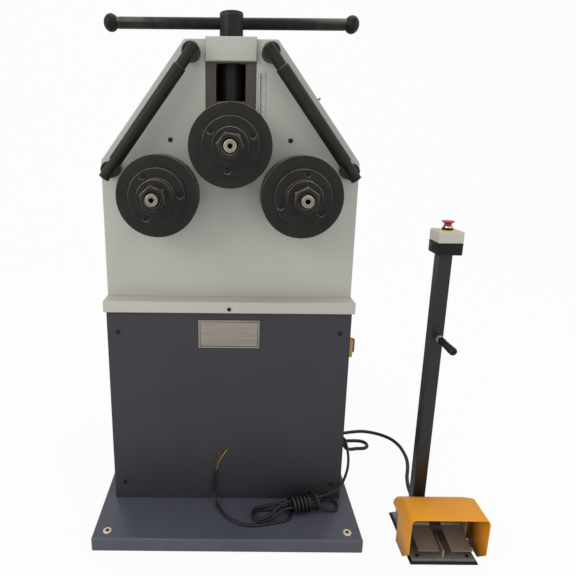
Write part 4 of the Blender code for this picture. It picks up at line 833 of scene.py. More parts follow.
# Every CAD node that a rounded copy replaces: finish, edge radius, slot, and body if not the frame
SOFTENED_NODES = {
    "cabinet_shell": ("cabinet_powder_coat", 0.0006, "dark_enamel"),
    "front_panel": ("cabinet_powder_coat", 0.0005, "dark_enamel"),
    "hood_skirt": ("skirt_enamel", 0.0006, "grey_enamel"),
    "housing_plate": ("baked_enamel", 0.0008, "grey_enamel"),
    "housing_shell": ("baked_enamel", 0.0006, "grey_enamel"),
    "back_cover": ("baked_enamel", 0.0006, "grey_enamel"),
    "head_block": ("baked_enamel", 0.0006, "grey_enamel"),
    "name_plate": ("brushed_plate", 0.0003, "bright_steel"),
    "scale_plate": ("brushed_steel", 0.0003, "bright_steel"),
    "pole": ("pole_enamel", 0.0, "pole_enamel"),
    "switch_plate": ("switch_yellow_abs", 0.0006, "yellow_plastic"),
    "switch_knob": ("switch_red_abs", 0.0006, "red_plastic", "switch"),
    "foot_base": ("grey_plated_steel", 0.0004, "grey_plate"),
    "foot_guard": ("guard_enamel", 0.0005, "orange_enamel"),
    "pedal_left": ("brown_plated_steel", 0.0005, "grey_plate", "left_pedal"),
    "pedal_right": ("brown_plated_steel", 0.0005, "grey_plate", "right_pedal"),
}


def new_tree(name, **inputs):
    """A geometry nodes tree with its sockets, and what its inputs give."""
    tree = bpy.data.node_groups.new(name, "GeometryNodeTree")
    for socket, kind in inputs.items():
        tree.interface.new_socket(socket, in_out="INPUT", socket_type=f"NodeSocket{kind}")
    tree.interface.new_socket("Made", in_out="OUTPUT", socket_type="NodeSocketGeometry")
    return tree, add_node(tree, "NodeGroupInput").outputs


def scattered(tree, material, **inputs):
    """Ends a tree with an instance on every point, made real and in one material."""
    placed = output(tree, "GeometryNodeInstanceOnPoints", inputs)
    real = output(tree, "GeometryNodeRealizeInstances", {"Geometry": placed})
    coated = output(tree, "GeometryNodeSetMaterial", {"Geometry": real, "Material": material})
    add_node(tree, "NodeGroupOutput", {"Made": coated})
    return tree


def scatter_tree():
    """Geometry nodes that put an object on every point, turned to the point's own direction."""
    tree, given = new_tree("fasteners_on_points", Points="Geometry", Fastener="Object", Size="Float",
                           Finish="Material")
    facing = output(tree, "GeometryNodeInputNamedAttribute", {"Name": "facing"},
                    data_type="FLOAT_VECTOR")
    turn = output(tree, "FunctionNodeAlignRotationToVector", {"Vector": facing}, axis="Z")
    item = output(tree, "GeometryNodeObjectInfo", {"Object": given["Fastener"], "As Instance": True},
                  "Geometry")
    return scattered(tree, given["Finish"], Points=given["Points"], Instance=item, Rotation=turn,
                     Scale=given["Size"])


def ruler_tree():
    """Geometry nodes that rule marks up a strip, with a longer one at every few."""
    tree, given = new_tree("ruler_marks", Strip="Geometry", Foot="Vector", Count="Int",
                           Spacing="Float", Mark="Vector", Every="Int", Finish="Material")
    step = output(tree, "ShaderNodeCombineXYZ", {"Z": given["Spacing"]})
    line = output(tree, "GeometryNodeMeshLine",
                  {"Count": given["Count"], "Start Location": given["Foot"], "Offset": step})
    index = output(tree, "GeometryNodeInputIndex")
    rest = output(tree, "ShaderNodeMath", {0: index, 1: given["Every"]}, operation="MODULO")
    is_long = output(tree, "ShaderNodeMath", {0: rest, 1: 0.5}, operation="LESS_THAN")
    stretch = output(tree, "ShaderNodeMath", {0: is_long, 1: 1.0}, operation="ADD")
    scale = output(tree, "ShaderNodeCombineXYZ", {"X": stretch, "Y": 1, "Z": 1})
    mark = output(tree, "GeometryNodeMeshCube", {"Size": given["Mark"]})
    half = output(tree, "ShaderNodeVectorMath", {0: given["Mark"], 1: (0.5, 0, 0)},
                  operation="MULTIPLY")
    shifted = output(tree, "GeometryNodeTransform", {"Geometry": mark, "Translation": half})
    return scattered(tree, given["Finish"], Points=line, Instance=shifted, Scale=scale)


def grown(name, host, tree, **values):
    """Runs a geometry nodes tree on a host object and returns the plain mesh that it makes."""
    host.name = name
    modifier = host.modifiers.new("tree", "NODES")
    modifier.node_group = tree
    identifiers = {item.name: item.identifier for item in tree.interface.items_tree
                   if item.in_out == "INPUT"}
    for socket, value in values.items():
        modifier[identifiers[socket]] = value
    return baked(host)


def points_object(places):
    """Vertices at (position, direction) pairs, with the direction kept as an attribute."""
    mesh = bpy.data.meshes.new("points")
    mesh.from_pydata([tuple(position) for position, _ in places], [], [])
    facing = mesh.attributes.new("facing", "FLOAT_VECTOR", "POINT")
    for slot, (_, direction) in zip(facing.data, places):
        slot.vector = direction
    return linked("points", mesh)


def fasteners(name, pattern, places, size, material, slot, body="frame"):
    """One piece made of a fastener repeated at each place. The pattern is removed afterwards."""
    made = grown(name, points_object(places), scatter_tree(), Fastener=pattern, Size=size,
                 Finish=finish(material))
    bpy.data.objects.remove(pattern, do_unlink=True)
    return keep(made, material, slot, body=body)


def socket_head(height=0.36, edge=0.2):
    """A domed screw head one unit across, with a hexagon socket, that stands on z = 0."""
    head = lathe("screw_head", step_corners(0, 0.5, 0, height, 0, edge), steps=32)
    socket = prism("socket", hexagon(SOCKET_R), height * SOCKET_FLOOR, height * 2, Matrix.Identity(4))
    return combined(head, [socket], "DIFFERENCE")


class RINGROLLER_OT_keep_nodes(bpy.types.Operator):
    """Gives the CAD nodes that keep their shape their finishes"""

    bl_idname = "ringroller.keep_nodes"
    bl_label = "Finish Inner Parts"

    def execute(self, context):
        for node, name in KEPT_NODES.items():
            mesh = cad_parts[node].data
            mesh.materials.clear()
            mesh.materials.append(finish(name))
        return {"FINISHED"}


class RINGROLLER_OT_soften(bpy.types.Operator):
    """Replaces the sheet metal, blocks and plates by copies with rounded edges"""

    bl_idname = "ringroller.soften"
    bl_label = "Sheet Metal and Blocks"

    def execute(self, context):
        for node, (name, edge, slot, *body) in SOFTENED_NODES.items():
            keep(softened(node, edge), name, slot, node, body=body[0] if body else "frame")
        self.base_pan()
        self.name_plate_border()
        return {"FINISHED"}

    def base_pan(self):
        """The base tray, folded from one sheet, with an air space on each side of its stiffeners."""
        low, high = span("base_tray")
        top = span("cabinet_shell")[0].z - SEAT
        pan = slab("base_pan", low, (high.x, high.y, top), BASE_FOLD_R, 5)
        edge = STIFFENER_W / 2
        xs, ys = (((near + BASE_SHEET, -edge), (edge, far - BASE_SHEET))
                  for near, far in ((low.x, high.x), (low.y, high.y)))
        pockets = [slab("pocket", (x[0], y[0], -BASE_SHEET), (x[1], y[1], top - BASE_SHEET), POCKET_EDGE, 2)
                   for x in xs for y in ys]
        keep(combined(pan, pockets, "DIFFERENCE"), "base_enamel", "base_enamel", "base_tray")

    def name_plate_border(self):
        """The dark line round the bare name plate."""
        low, high = span("name_plate")
        left, right = low.x + LINE_INSET, high.x - LINE_INSET
        foot, head = low.z + LINE_INSET, high.z - LINE_INSET
        bars = [slab("bar", (x, low.y - SKIN, z), (x_end, low.y + SKIN, z_end), SKIN / 4, 1)
                for x, z, x_end, z_end in ((left, foot, right, foot + LINE_W),
                                           (left, head - LINE_W, right, head),
                                           (left, foot + LINE_W, left + LINE_W, head - LINE_W),
                                           (right - LINE_W, foot + LINE_W, right, head - LINE_W))]
        keep(joined("name_plate_border", bars), "ink", "bright_steel")


class RINGROLLER_OT_rollers(bpy.types.Operator):
    """Builds the three rollers with their flanges, nuts, socket screws and shafts"""

    bl_idname = "ringroller.rollers"
    bl_label = "Rollers"

    def execute(self, context):
        for side in ("left", "right", "top"):
            low, high = span(f"roller_{side}")
            spot = Vector(((low.x + high.x) / 2, 0, (low.z + high.z) / 2))
            black = black_oxide(side, spot)
            body = f"{side}_roller"
            self.spool(side, body, spot, black, (high.x - low.x) / 2)
            self.flange(side, body, spot, black, context.scene.ring_roller_fasteners.socket_screw)
            self.nut(side, body, spot, black)
            self.shaft(side, body, spot)
        return {"FINISHED"}

    def spool(self, side, body, spot, black, disc):
        """The roller: a core between two discs."""
        back, front = stations(f"roller_{side}")
        bore, core, edge = SHAFT_D / 2 + CLEARANCE, CORE_D / 2, DISC_EDGE
        near, far = back + DISC_T, front - DISC_T
        corners = [(bore, back, 0), (disc, back, edge), (disc, near, edge / 2), (core, near, 0),
                   (core, far, 0), (disc, far, edge / 2), (disc, front, edge), (bore, front, 0)]
        keep(lathe(f"spool_{side}", corners, spot, FRONT, 128), black, "black_oxide",
             f"roller_{side}", body=body)

    def flange(self, side, body, spot, black, screw_size):
        """The clamping flange, with a socket screw in each of its three counterbores."""
        low, high = span(f"flange_{side}")
        back, front = stations(f"flange_{side}")
        face, edge = back + FLANGE_T, DISC_EDGE
        ring, hub, bore = (high.x - low.x) / 2, FLANGE_HUB_D / 2, SHAFT_END_D / 2 + CLEARANCE
        corners = [(bore, back, 0), (ring, back, edge / 3), (ring, face, edge),
                   (hub, face, edge / 2), (hub, front, edge), (bore, front, 0)]
        flange = lathe(f"clamp_flange_{side}", corners, spot, FRONT)
        places, cutters = [], []
        for step in range(3):
            angle = math.radians(FLANGE_TURNS[side]) + step * 2 * math.pi / 3
            place = spot + FLANGE_SCREW_PCD / 2 * Vector((math.cos(angle), 0, math.sin(angle)))
            sink = Vector((place.x, -(face - FLANGE_SCREW_DEPTH), place.z))
            cutters.append(drill(FLANGE_SCREW_D / 2, 0, 2 * FLANGE_SCREW_DEPTH, sink, FRONT, 32))
            places.append((sink - FRONT * SKIN, FRONT))
        keep(combined(flange, cutters, "DIFFERENCE"), black, "black_oxide", f"flange_{side}", body=body)
        fasteners(f"flange_screws_{side}", socket_head(*CAP_HEAD), places, screw_size,
                  "black_screw_steel", "black_oxide", body)

    def nut(self, side, body, spot, black):
        """A hexagon nut with chamfered corners: a hexagon cut to a turned shape."""
        back, front = stations(f"nut_{side}")
        bore = SHAFT_END_D / 2 + CLEARANCE
        corner = NUT_FLATS / 2 / math.cos(math.pi / 6)
        nut = prism(f"hex_nut_{side}", hexagon(corner, NUT_TURNS[side]), back, front,
                    Matrix.Translation(spot) @ aim(FRONT))
        flat, wide = NUT_FLATS / 2 * NUT_FACE, corner * NUT_REACH
        rise = (wide - flat) * math.tan(NUT_CHAMFER)
        profile = [(bore, back), (flat, back), (wide, back + rise), (wide, (back + front) / 2),
                   (wide, front - rise), (flat, front), (bore, front)]
        shaper = lathe("shaper", profile, spot, FRONT, 64)
        keep(rounded(combined(nut, [shaper], "INTERSECT"), FINE_EDGE, 1), black, "black_oxide",
             f"nut_{side}", body=body)

    def shaft(self, side, body, spot):
        """The shaft from its rear end to its front end, with the lathe's centre hole in it."""
        back, front = stations(f"shaft_{side}")
        seat, face = stations(f"roller_{side}")
        behind = "slide_cover" if side == "top" else "bearing_cover_left"
        collar = stations(behind)[1] + 2 * SEAT
        ring, thick = SHAFT_COLLAR_D / 2, SHAFT_D / 2
        end, tip, hole = SHAFT_END_D / 2, SHAFT_TIP_D / 2, CENTRE_HOLE_D / 2
        step = stations(f"nut_{side}")[1] + SHAFT_STEP
        throat = hole * THROAT_SHARE
        profile = [(0, back), (thick - SHAFT_BEVEL, back), (thick, back + SHAFT_BEVEL), (thick, collar),
                   (ring, collar), (ring, seat - SEAT), (thick, seat - SEAT), (thick, face),
                   (end, face), *fillet([(end, step, 0.0005), (tip, step, 0), (tip, front, 0.0013),
                                         (hole, front, 0.0004)], 3),
                   (throat, front - hole), (throat, front - 3 * hole), (0, front - 3.5 * hole)]
        keep(lathe(f"spindle_{side}", profile, spot, FRONT, 64), bright_turned(side, spot),
             "bright_steel", f"shaft_{side}", body=body)


class RINGROLLER_OT_handle(bpy.types.Operator):
    """Builds the feed screw, the hub and the bar of the T-handle"""

    bl_idname = "ringroller.handle"
    bl_label = "T-Handle"

    def execute(self, context):
        low, high = span("lead_screw")
        foot = upright("lead_screw")
        screw, spigot = (high.x - low.x) / 2, SPIGOT_D / 2
        step = span("head_block")[1].z - SEAT
        profile = [(0, low.z), (screw, low.z), (screw, step), (spigot, step), (spigot, high.z),
                   (0, high.z)]
        keep(lathe("feed_screw", profile, foot, steps=64), black_oxide("screw", foot, "Z"),
             "oiled_steel", "lead_screw", body="screw")
        bar_low, bar_high = span("t_bar")
        middle = foot + UP * ((bar_low.z + bar_high.z) / 2)
        self.hub(foot, middle, high.z)
        self.bar(Vector((0, middle.y, middle.z)), bar_high.x, (bar_high.z - bar_low.z) / 2)
        self.hub_ring(foot)
        return {"FINISHED"}

    def hub(self, foot, middle, spigot_top):
        """The crowned hub with its groove and two bores."""
        low, high = span("t_hub")
        radius = (high.x - low.x) / 2
        shoulder = high.z - HUB_CROWN
        groove = shoulder - HUB_EDGE
        corners = [(0, low.z, 0), (radius, low.z, 0.001), (radius, groove - 0.0012, 0.0003),
                   (radius - 0.0004, groove - 0.0006, 0), (radius, groove, 0.0002),
                   (radius, shoulder, HUB_EDGE * 0.8), (radius * 0.45, high.z, 0.02), (0, high.z, 0)]
        hub = lathe("handle_hub", corners, foot, steps=64)
        cross = drill(BAR_D / 2 + CLEARANCE, -2 * radius, 2 * radius, middle, RIGHT, 48)
        pocket = drill(SPIGOT_D / 2 + CLEARANCE, low.z - OVERSHOOT, spigot_top + SEAT, foot, UP, 48)
        keep(combined(hub, [cross, pocket], "DIFFERENCE"), black_oxide("hub", foot, "Z"),
             "black_oxide", "t_hub", body="screw")

    def hub_ring(self, foot):
        """The bright ring that shows as a pale line under the hub."""
        low, high = span("t_hub")
        radius = (high.x - low.x) / 2
        corners = step_corners(radius - SEAT, radius + HUB_RING_OUT, low.z, low.z + HUB_RING_H,
                               0.0004, 0.0006)
        keep(lathe("hub_ring", corners, foot, steps=64), "brushed_steel", "bright_steel", body="screw")

    def bar(self, middle, tip, ball):
        """The bar with a turned ball on each end, flattened a little along the bar."""
        radius = BAR_D / 2
        neck = math.pi - math.asin(NECK_SHARE * radius / ball)
        half = []
        for step in range(BALL_STEPS + 1):
            turn = neck * (BALL_STEPS - step) / BALL_STEPS
            half.append((ball * math.sin(turn), tip - KNOB_L / 2 + KNOB_L / 2 * math.cos(turn)))
        half[-1] = (0, tip)
        half.insert(0, (radius, half[0][1] - KNOB_NECK))
        profile = [(reach, -station) for reach, station in reversed(half)] + half
        keep(lathe("handle_bar", profile, middle, RIGHT, 64), black_oxide("bar", middle, "X", "#121110"),
             "black_oxide", "t_bar", body="screw")


class RINGROLLER_OT_guards(bpy.types.Operator):
    """Builds the two guard rods with their posts, and the tubes that turn on them"""

    bl_idname = "ringroller.guards"
    bl_label = "Guard Rods"

    def execute(self, context):
        wall = span("housing_plate")[0].y - SEAT
        rise = abs(wall - ROD_Y) + ROD_D / 4
        for side, name in ((-1, "left"), (1, "right")):
            upper, lower = (Vector((side * x, ROD_Y, z)) for x, z in (ROD_UPPER, ROD_LOWER))
            along = (lower - upper).normalized()
            length = (lower - upper).length + ROD_UPPER_END + ROD_LOWER_END
            rod = lathe(f"rod_{name}", step_corners(0, ROD_D / 2, 0, length, ROD_EDGE, ROD_EDGE),
                        upper - along * ROD_UPPER_END, along, 48)
            posts = [lathe("post", step_corners(0, BOSS_D / 2, 0, rise, 0, ROD_EDGE),
                           (place.x, wall, place.z), FRONT, 64) for place in (upper, lower)]
            black = black_oxide(f"rod_{name}", upper)
            keep(combined(rod, posts, "UNION"), black, "black_oxide", f"guard_rod_{name}")
            first = upper + along * SLEEVE_UPPER_GAP
            reach = (lower - along * SLEEVE_LOWER_GAP - first).length
            inner = ROD_D / 2 + CLEARANCE
            corners = [(inner, 0, SKIN), (SLEEVE_D / 2, 0, ROD_EDGE), (SLEEVE_D / 2, reach, ROD_EDGE),
                       (inner, reach, SKIN)]
            keep(lathe(f"tube_{name}", corners, first, along, 64), black, "black_oxide",
                 f"sleeve_{name}", body=f"{name}_sleeve")
        return {"FINISHED"}


class RINGROLLER_OT_fasteners(bpy.types.Operator):
    """Adds the screws, plugs, anchors, scale marks and the grease nipple"""

    bl_idname = "ringroller.fasteners"
    bl_label = "Small Fittings"

    def execute(self, context):
        sizes = context.scene.ring_roller_fasteners
        panel, skirt = span("front_panel")[0].y, span("hood_skirt")
        wall = span("housing_plate")[0].y
        places = [(Vector((x, panel, z)), FRONT) for x, z in PANEL_SCREWS]
        places.append((Vector((0, skirt[0].y, SKIRT_SCREW_Z)), FRONT))
        fasteners("panel_screws", socket_head(), places, sizes.panel_screw, "black_screw_steel",
                  "black_oxide")
        plug = lathe("plug", [(0, 0, 0), (0.5, 0, 0), (0.5, 0.10, 0.08), (0, 0.16, 0)], steps=32)
        fasteners("wall_plugs", plug, [(Vector((x, wall, z)), FRONT) for x, z in WALL_PLUGS],
                  sizes.wall_plug, "rubber", "black_rubber")
        self.back_cover_screws(sizes)
        self.anchors(sizes)
        self.scale_marks(context.scene.ring_roller_scale)
        self.grease_nipple()
        self.plate_border()
        self.pointer()
        self.strip("slot_sill", (-SLOT_HALF, wall, SLOT_FLOOR), (SLOT_HALF, wall + SILL_T, SILL_TOP))
        back, top = span("back_cover")[1].y, skirt[1].z
        self.strip("cover_foot", (-COVER_FOOT_W / 2, back, top),
                   (COVER_FOOT_W / 2, back + COVER_FOOT_D, top + COVER_FOOT_T))
        return {"FINISHED"}

    def strip(self, name, low, high):
        """An enamelled strip: the sill that closes the foot of the slide's slot, or the back
        cover's folded foot, which closes the motor's hole in the skirt behind it."""
        keep(slab(name, low, high, SKIN), "baked_enamel", "grey_enamel")

    def plate_border(self):
        """The dark edge of lacquer that frames the bare name plate."""
        low, high = span("name_plate")
        rim = Vector((PLATE_BORDER, 0, PLATE_BORDER))
        border = slab("plate_border", low - rim + Vector((0, SKIN, 0)), high + rim, PLATE_BORDER / 4)
        keep(border, "ink", "bright_steel")

    def pointer(self):
        """The bright sleeve on the pointer rod, which rides up and down with the slide."""
        corners = step_corners(0, POINTER_D / 2 + SKIN, POINTER_FOOT, POINTER_TOP, 0.0003, 0.0008)
        keep(lathe("pointer_sleeve", corners, (*POINTER_AT, 0), steps=24), "brushed_steel",
             "bright_steel", body="slide")

    def back_cover_screws(self, sizes):
        """Screws along the foot and up the two sides of the back cover."""
        low, high = span("back_cover")
        width = high.x - low.x - 2 * COVER_INSET
        count = round(width / sizes.cover_spacing)
        foot = low.z + COVER_INSET
        spots = [(low.x + COVER_INSET + width * step / count, foot) for step in range(count + 1)]
        for side in (-1, 1):
            for rise in COVER_RISES:
                spots.append((side * (high.x - COVER_INSET),
                              foot + (high.z - HOUSING_RISE - COVER_INSET - low.z) * rise))
            for share in COVER_SHARES:
                spots.append((side * (high.x - COVER_INSET - (HOUSING_RUN - COVER_INSET / 2) * share),
                              high.z - HOUSING_RISE + (HOUSING_RISE - COVER_INSET) * share))
        fasteners("back_cover_screws", socket_head(), [(Vector((x, high.y, z)), -FRONT) for x, z in spots],
                  sizes.cover_screw, "zinc_plate", "bright_steel")

    def anchors(self, sizes):
        """Floor anchors: a zinc washer and a yellow-zinc sleeve with its bolt in each corner."""
        top = span("cabinet_shell")[0].z - SEAT
        places = [(Vector((side * ANCHOR_X, y, top)), UP) for side in (-1, 1) for y in ANCHOR_ROWS]
        for name, material, steps, corners in (
                ("washers", "white_zinc", 48,
                 [(0.24, 0, 0), (0.5, 0, 0.02), (0.5, 0.09, 0.03), (0.24, 0.09, 0.02)]),
                ("sleeves", "yellow_zinc", 32,
                 [(0, 0, 0), (0.23, 0, 0), (0.23, 0.15, 0.02), (0.15, 0.15, 0.01), (0.15, 0.08, 0),
                  (0, 0.08, 0)]),
                ("bolts", "black_screw_steel", 24, step_corners(0, 0.12, 0.07, 0.13, 0, 0.03))):
            fasteners(f"anchor_{name}", lathe("pattern", corners, steps=steps), places,
                      sizes.anchor_washer, material, "bright_steel")

    def scale_marks(self, settings):
        """Dark marks on the steel scale beside the slide."""
        low, high = span("scale_plate")
        made = grown("scale_marks", points_object([]), ruler_tree(), Spacing=settings.spacing,
                     Foot=(low.x + SKIN, low.y, low.z + SCALE_MARGIN),
                     Count=int((high.z - low.z - 2 * SCALE_MARGIN) / settings.spacing) + 1,
                     Mark=(settings.mark, SKIN, MARK_T), Every=settings.every, Finish=finish("ink"))
        keep(made, "ink", "bright_steel")

    def grease_nipple(self):
        """A brass-coloured grease nipple on the right slope of the housing."""
        corners = [(0, 0, 0), (0.0042, 0, 0.0003), (0.0042, 0.0030, 0.0003), (0.0024, 0.0034, 0),
                   (0.0024, 0.0060, 0), (0.0033, 0.0072, 0.0004), (0.0026, 0.0095, 0.0006),
                   (0.0014, 0.0102, 0.0003), (0, 0.0104, 0)]
        keep(lathe("grease_nipple", corners, NIPPLE_AT, (HOUSING_RISE, 0, HOUSING_RUN), 24), "bronze",
             "bright_steel")


class RINGROLLER_OT_foot_switch(bpy.types.Operator):
    """Adds the foot switch's cable grommet, its tabs and its screws"""

    bl_idname = "ringroller.foot_switch"
    bl_label = "Foot Switch"

    def execute(self, context):
        outer, throat = GROMMET_D / 2, CONTROL_D / 2 + GROMMET_WALL
        corners = [(0, 0, 0), (outer, 0, 0.0005), (outer, GROMMET_L * GROMMET_WAIST, 0.0015),
                   (throat, GROMMET_L, 0.0006), (0, GROMMET_L, 0)]
        keep(lathe("cable_grommet", corners, (FOOT_X, FOOT_BOX_BACK, GROMMET_Z), -FRONT, 40),
             "black_polyamide", "black_plastic")
        self.tabs()
        top = span("foot_base")[0].z + FOOT_PLATE_T
        fasteners("foot_plate_screws", socket_head(), [(Vector((x, y, top)), UP) for x, y in FOOT_SCREWS],
                  FOOT_SCREW_D, "black_screw_steel", "black_oxide")
        return {"FINISHED"}

    def tabs(self):
        """Two enamelled tabs that close the guard's sides behind the ears."""
        low, high = span("foot_guard")
        half = FOOT_BOX_W / 2
        tabs = [slab("tab", (near, TAB_FRONT, TAB_FOOT), (far, TAB_BACK, TAB_TOP), SKIN)
                for near, far in ((low.x + GUARD_SHEET, FOOT_X - half),
                                  (FOOT_X + half, high.x - GUARD_SHEET))]
        keep(joined("guard_tabs", tabs), "guard_enamel", "orange_enamel")


class RINGROLLER_OT_button_box(bpy.types.Operator):
    """Builds the stop button with its box, and the grip on the pole"""

    bl_idname = "ringroller.button_box"
    bl_label = "Stop Button and Grip"

    def execute(self, context):
        self.box()
        self.cover()
        self.button()
        self.grip()
        return {"FINISHED"}

    def box(self):
        """The black lower box, with a lip round its top and a knock-out in each side."""
        low, high = span("button_box_base")
        middle = (low + high) / 2
        lip = slab("lip", (low.x - LIP_OUT, low.y - LIP_OUT, high.z - BOX_EDGE),
                   high + Vector((LIP_OUT, LIP_OUT, -LIP_OUT)), LIP_OUT)
        inner, outer, thick = KNOCK_OUT
        corners = [(inner, 0, 0), (outer, 0, 0), (outer, thick, SKIN), (inner, thick, SKIN)]
        knock_outs = [lathe("knock_out", corners, (x, middle.y, middle.z), (side, 0, 0), 40)
                      for side, x in ((-1, low.x), (1, high.x))]
        keep(joined("box_base", [slab("base", low, high, BOX_EDGE), lip, *knock_outs]),
             "black_polyamide", "black_plastic", "button_box_base")

    def cover(self):
        """The beige cover with its screws, and the turned rings that stand under the button."""
        low, high = span("button_box_cover")
        top = high.z - COVER_STACK
        foot = upright("button_box_cover")
        cover = slab("cover", low, (high.x, high.y, top), BOX_EDGE)
        bore = drill(BUTTON_BORE_R, low.z + BUTTON_BORE_FLOOR, top + OVERSHOOT, foot, UP, 48)
        keep(combined(cover, [bore], "DIFFERENCE"), "beige_abs", "cover_plastic", "button_box_cover")
        places = [(Vector((x, y, top)), UP) for x in (low.x + LID_INSET, high.x - LID_INSET)
                  for y in (low.y + LID_INSET, high.y - LID_INSET)]
        fasteners("cover_screws", socket_head(), places, LID_SCREW_D, "zinc_plate", "bright_steel")
        plate = top + YELLOW_T
        rim = plate + COLLAR_H
        for name, material, slot, corners in (
                ("yellow_plate", "yellow_abs", "yellow_plastic",
                 step_corners(0.0094, 0.0210, top, plate, 0.0002, 0.0004)),
                ("button_collar", "black_polyamide", "black_plastic",
                 [(0.0092, plate, 0), (0.0118, plate, 0.0003), (0.0118, plate + 0.0040, 0.0008),
                  (0.0098, rim, 0.0003), (0.0092, rim, 0)]),
                ("button_bezel", "chrome", "bright_steel",
                 [(0.0091, rim, 0), (0.0107, rim, 0.0003), (0.0098, high.z, 0.0008),
                  (0.0091, high.z, 0.0003)])):
            keep(lathe(name, corners, foot, steps=64), material, slot)

    def button(self):
        """The red mushroom button on its flared stem."""
        low, high = span("stop_button")
        head, stem, top = (high.x - low.x) / 2, BUTTON_STEM_R, high.z
        flare = top - 0.0062
        corners = [(0, low.z, 0), (stem, low.z, 0), (stem, flare, 0.002),
                   (stem * 1.12, flare + 0.0010, 0.003), (head * 0.93, top - 0.0026, 0.0006),
                   (head, top - 0.0020, 0.0006), (head, top - 0.0008, 0.0006),
                   (head * 0.9, top - 0.0001, 0.002), (0, top, 0)]
        keep(lathe("mushroom_button", corners, upright("stop_button"), steps=64), "red_abs",
             "red_plastic", "stop_button", body="stop")

    def grip(self):
        """The moulded grip on its steel stud, with a hexagon nut against the pole."""
        low, high = span("grip")
        start = Vector(((low.x + high.x) / 2, high.y, (low.z + high.z) / 2))
        radius, length, stud = (high.x - low.x) / 2, high.y - low.y, STUD_L
        corners = [(0, 0, 0), (0.0050, 0, 0), (0.0050, stud, 0), (0.0042, stud, 0), (0, stud, 0)]
        nut = prism("nut", hexagon(STUD_NUT_R), SKIN, STUD_NUT_T, Matrix.Translation(start) @ aim(FRONT))
        keep(joined("grip_stud", [lathe("stud", corners, start, FRONT, 32), rounded(nut, 0.0005, 2)]),
             "brushed_steel", "bright_steel")
        corners = [(0, stud, 0), (radius * 0.80, stud, 0.001), (radius * 0.96, stud + 0.006, 0.004),
                   (radius * 0.88, stud + 0.022, 0.02), (radius, length - 0.016, 0.02),
                   (radius, length - 0.002, 0.003), (radius * 0.72, length, 0.001),
                   (radius * 0.66, length - 0.0012, 0), (radius * 0.40, length - 0.0012, 0),
                   (radius * 0.34, length - 0.0035, 0), (0, length - 0.0035, 0)]
        keep(lathe("handle_grip", corners, start, FRONT, 64), "grip_plastic", "black_plastic", "grip")


def smooth_route(points, spacing):
    """Points evenly spaced along a smooth curve through the given ones."""
    nodes = [Vector(point) for point in points]
    padded = [nodes[0] * 2 - nodes[1], *nodes, nodes[-1] * 2 - nodes[-2]]
    fine = []
    for before, start, end, after in zip(padded, padded[1:], padded[2:], padded[3:]):
        for step in range(CURVE_STEPS):
            t = step / CURVE_STEPS
            fine.append(0.5 * (2 * start + (end - before) * t
                               + (2 * before - 5 * start + 4 * end - after) * t ** 2
                               + (3 * start - before - 3 * end + after) * t ** 3))
    fine.append(nodes[-1])
    lengths = [0.0]
    for first, second in zip(fine, fine[1:]):
        lengths.append(lengths[-1] + (second - first).length)
    count = max(2, round(lengths[-1] / spacing))
    route = []
    index = 0
    for step in range(count + 1):
        goal = lengths[-1] * step / count
        while index < len(lengths) - 2 and lengths[index + 1] < goal:
            index += 1
        share = (goal - lengths[index]) / (lengths[index + 1] - lengths[index])
        route.append(fine[index].lerp(fine[index + 1], share))
    return route


def hank_to_world(u, v, w):
    across = Vector((math.cos(HANK_SLANT), math.sin(HANK_SLANT), 0))
    forward = Vector((-across.y, across.x, 0))
    return Vector(HANK_ORIGIN) + across * u + forward * v + Vector((0, 0, w))


def ease(share):
    return share * share * (3 - 2 * share)


def hank_eye(eye_u, leaving, arriving, height):
    """A strand that leaves the waist, goes round an eye on the front side first, and comes back."""
    side = 1 if eye_u > 0 else -1
    waist_u = side * HANK_WAIST_HALF

    def leg(end, step):
        share = ease(step / LEG_STEPS)
        return (waist_u + (eye_u - waist_u) * step / LEG_STEPS,
                end[0] + (end[2] * HANK_EYE_R - end[0]) * share,
                end[1] + (height - end[1]) * share)

    turns = [math.pi * step / EYE_STEPS for step in range(EYE_STEPS + 1)]
    return [*(leg(leaving, step) for step in range(LEG_STEPS)),
            *((eye_u + side * HANK_EYE_R * math.sin(turn),
               leaving[2] * HANK_EYE_R * math.cos(turn), height) for turn in turns),
            *(leg(arriving, step) for step in reversed(range(LEG_STEPS)))]


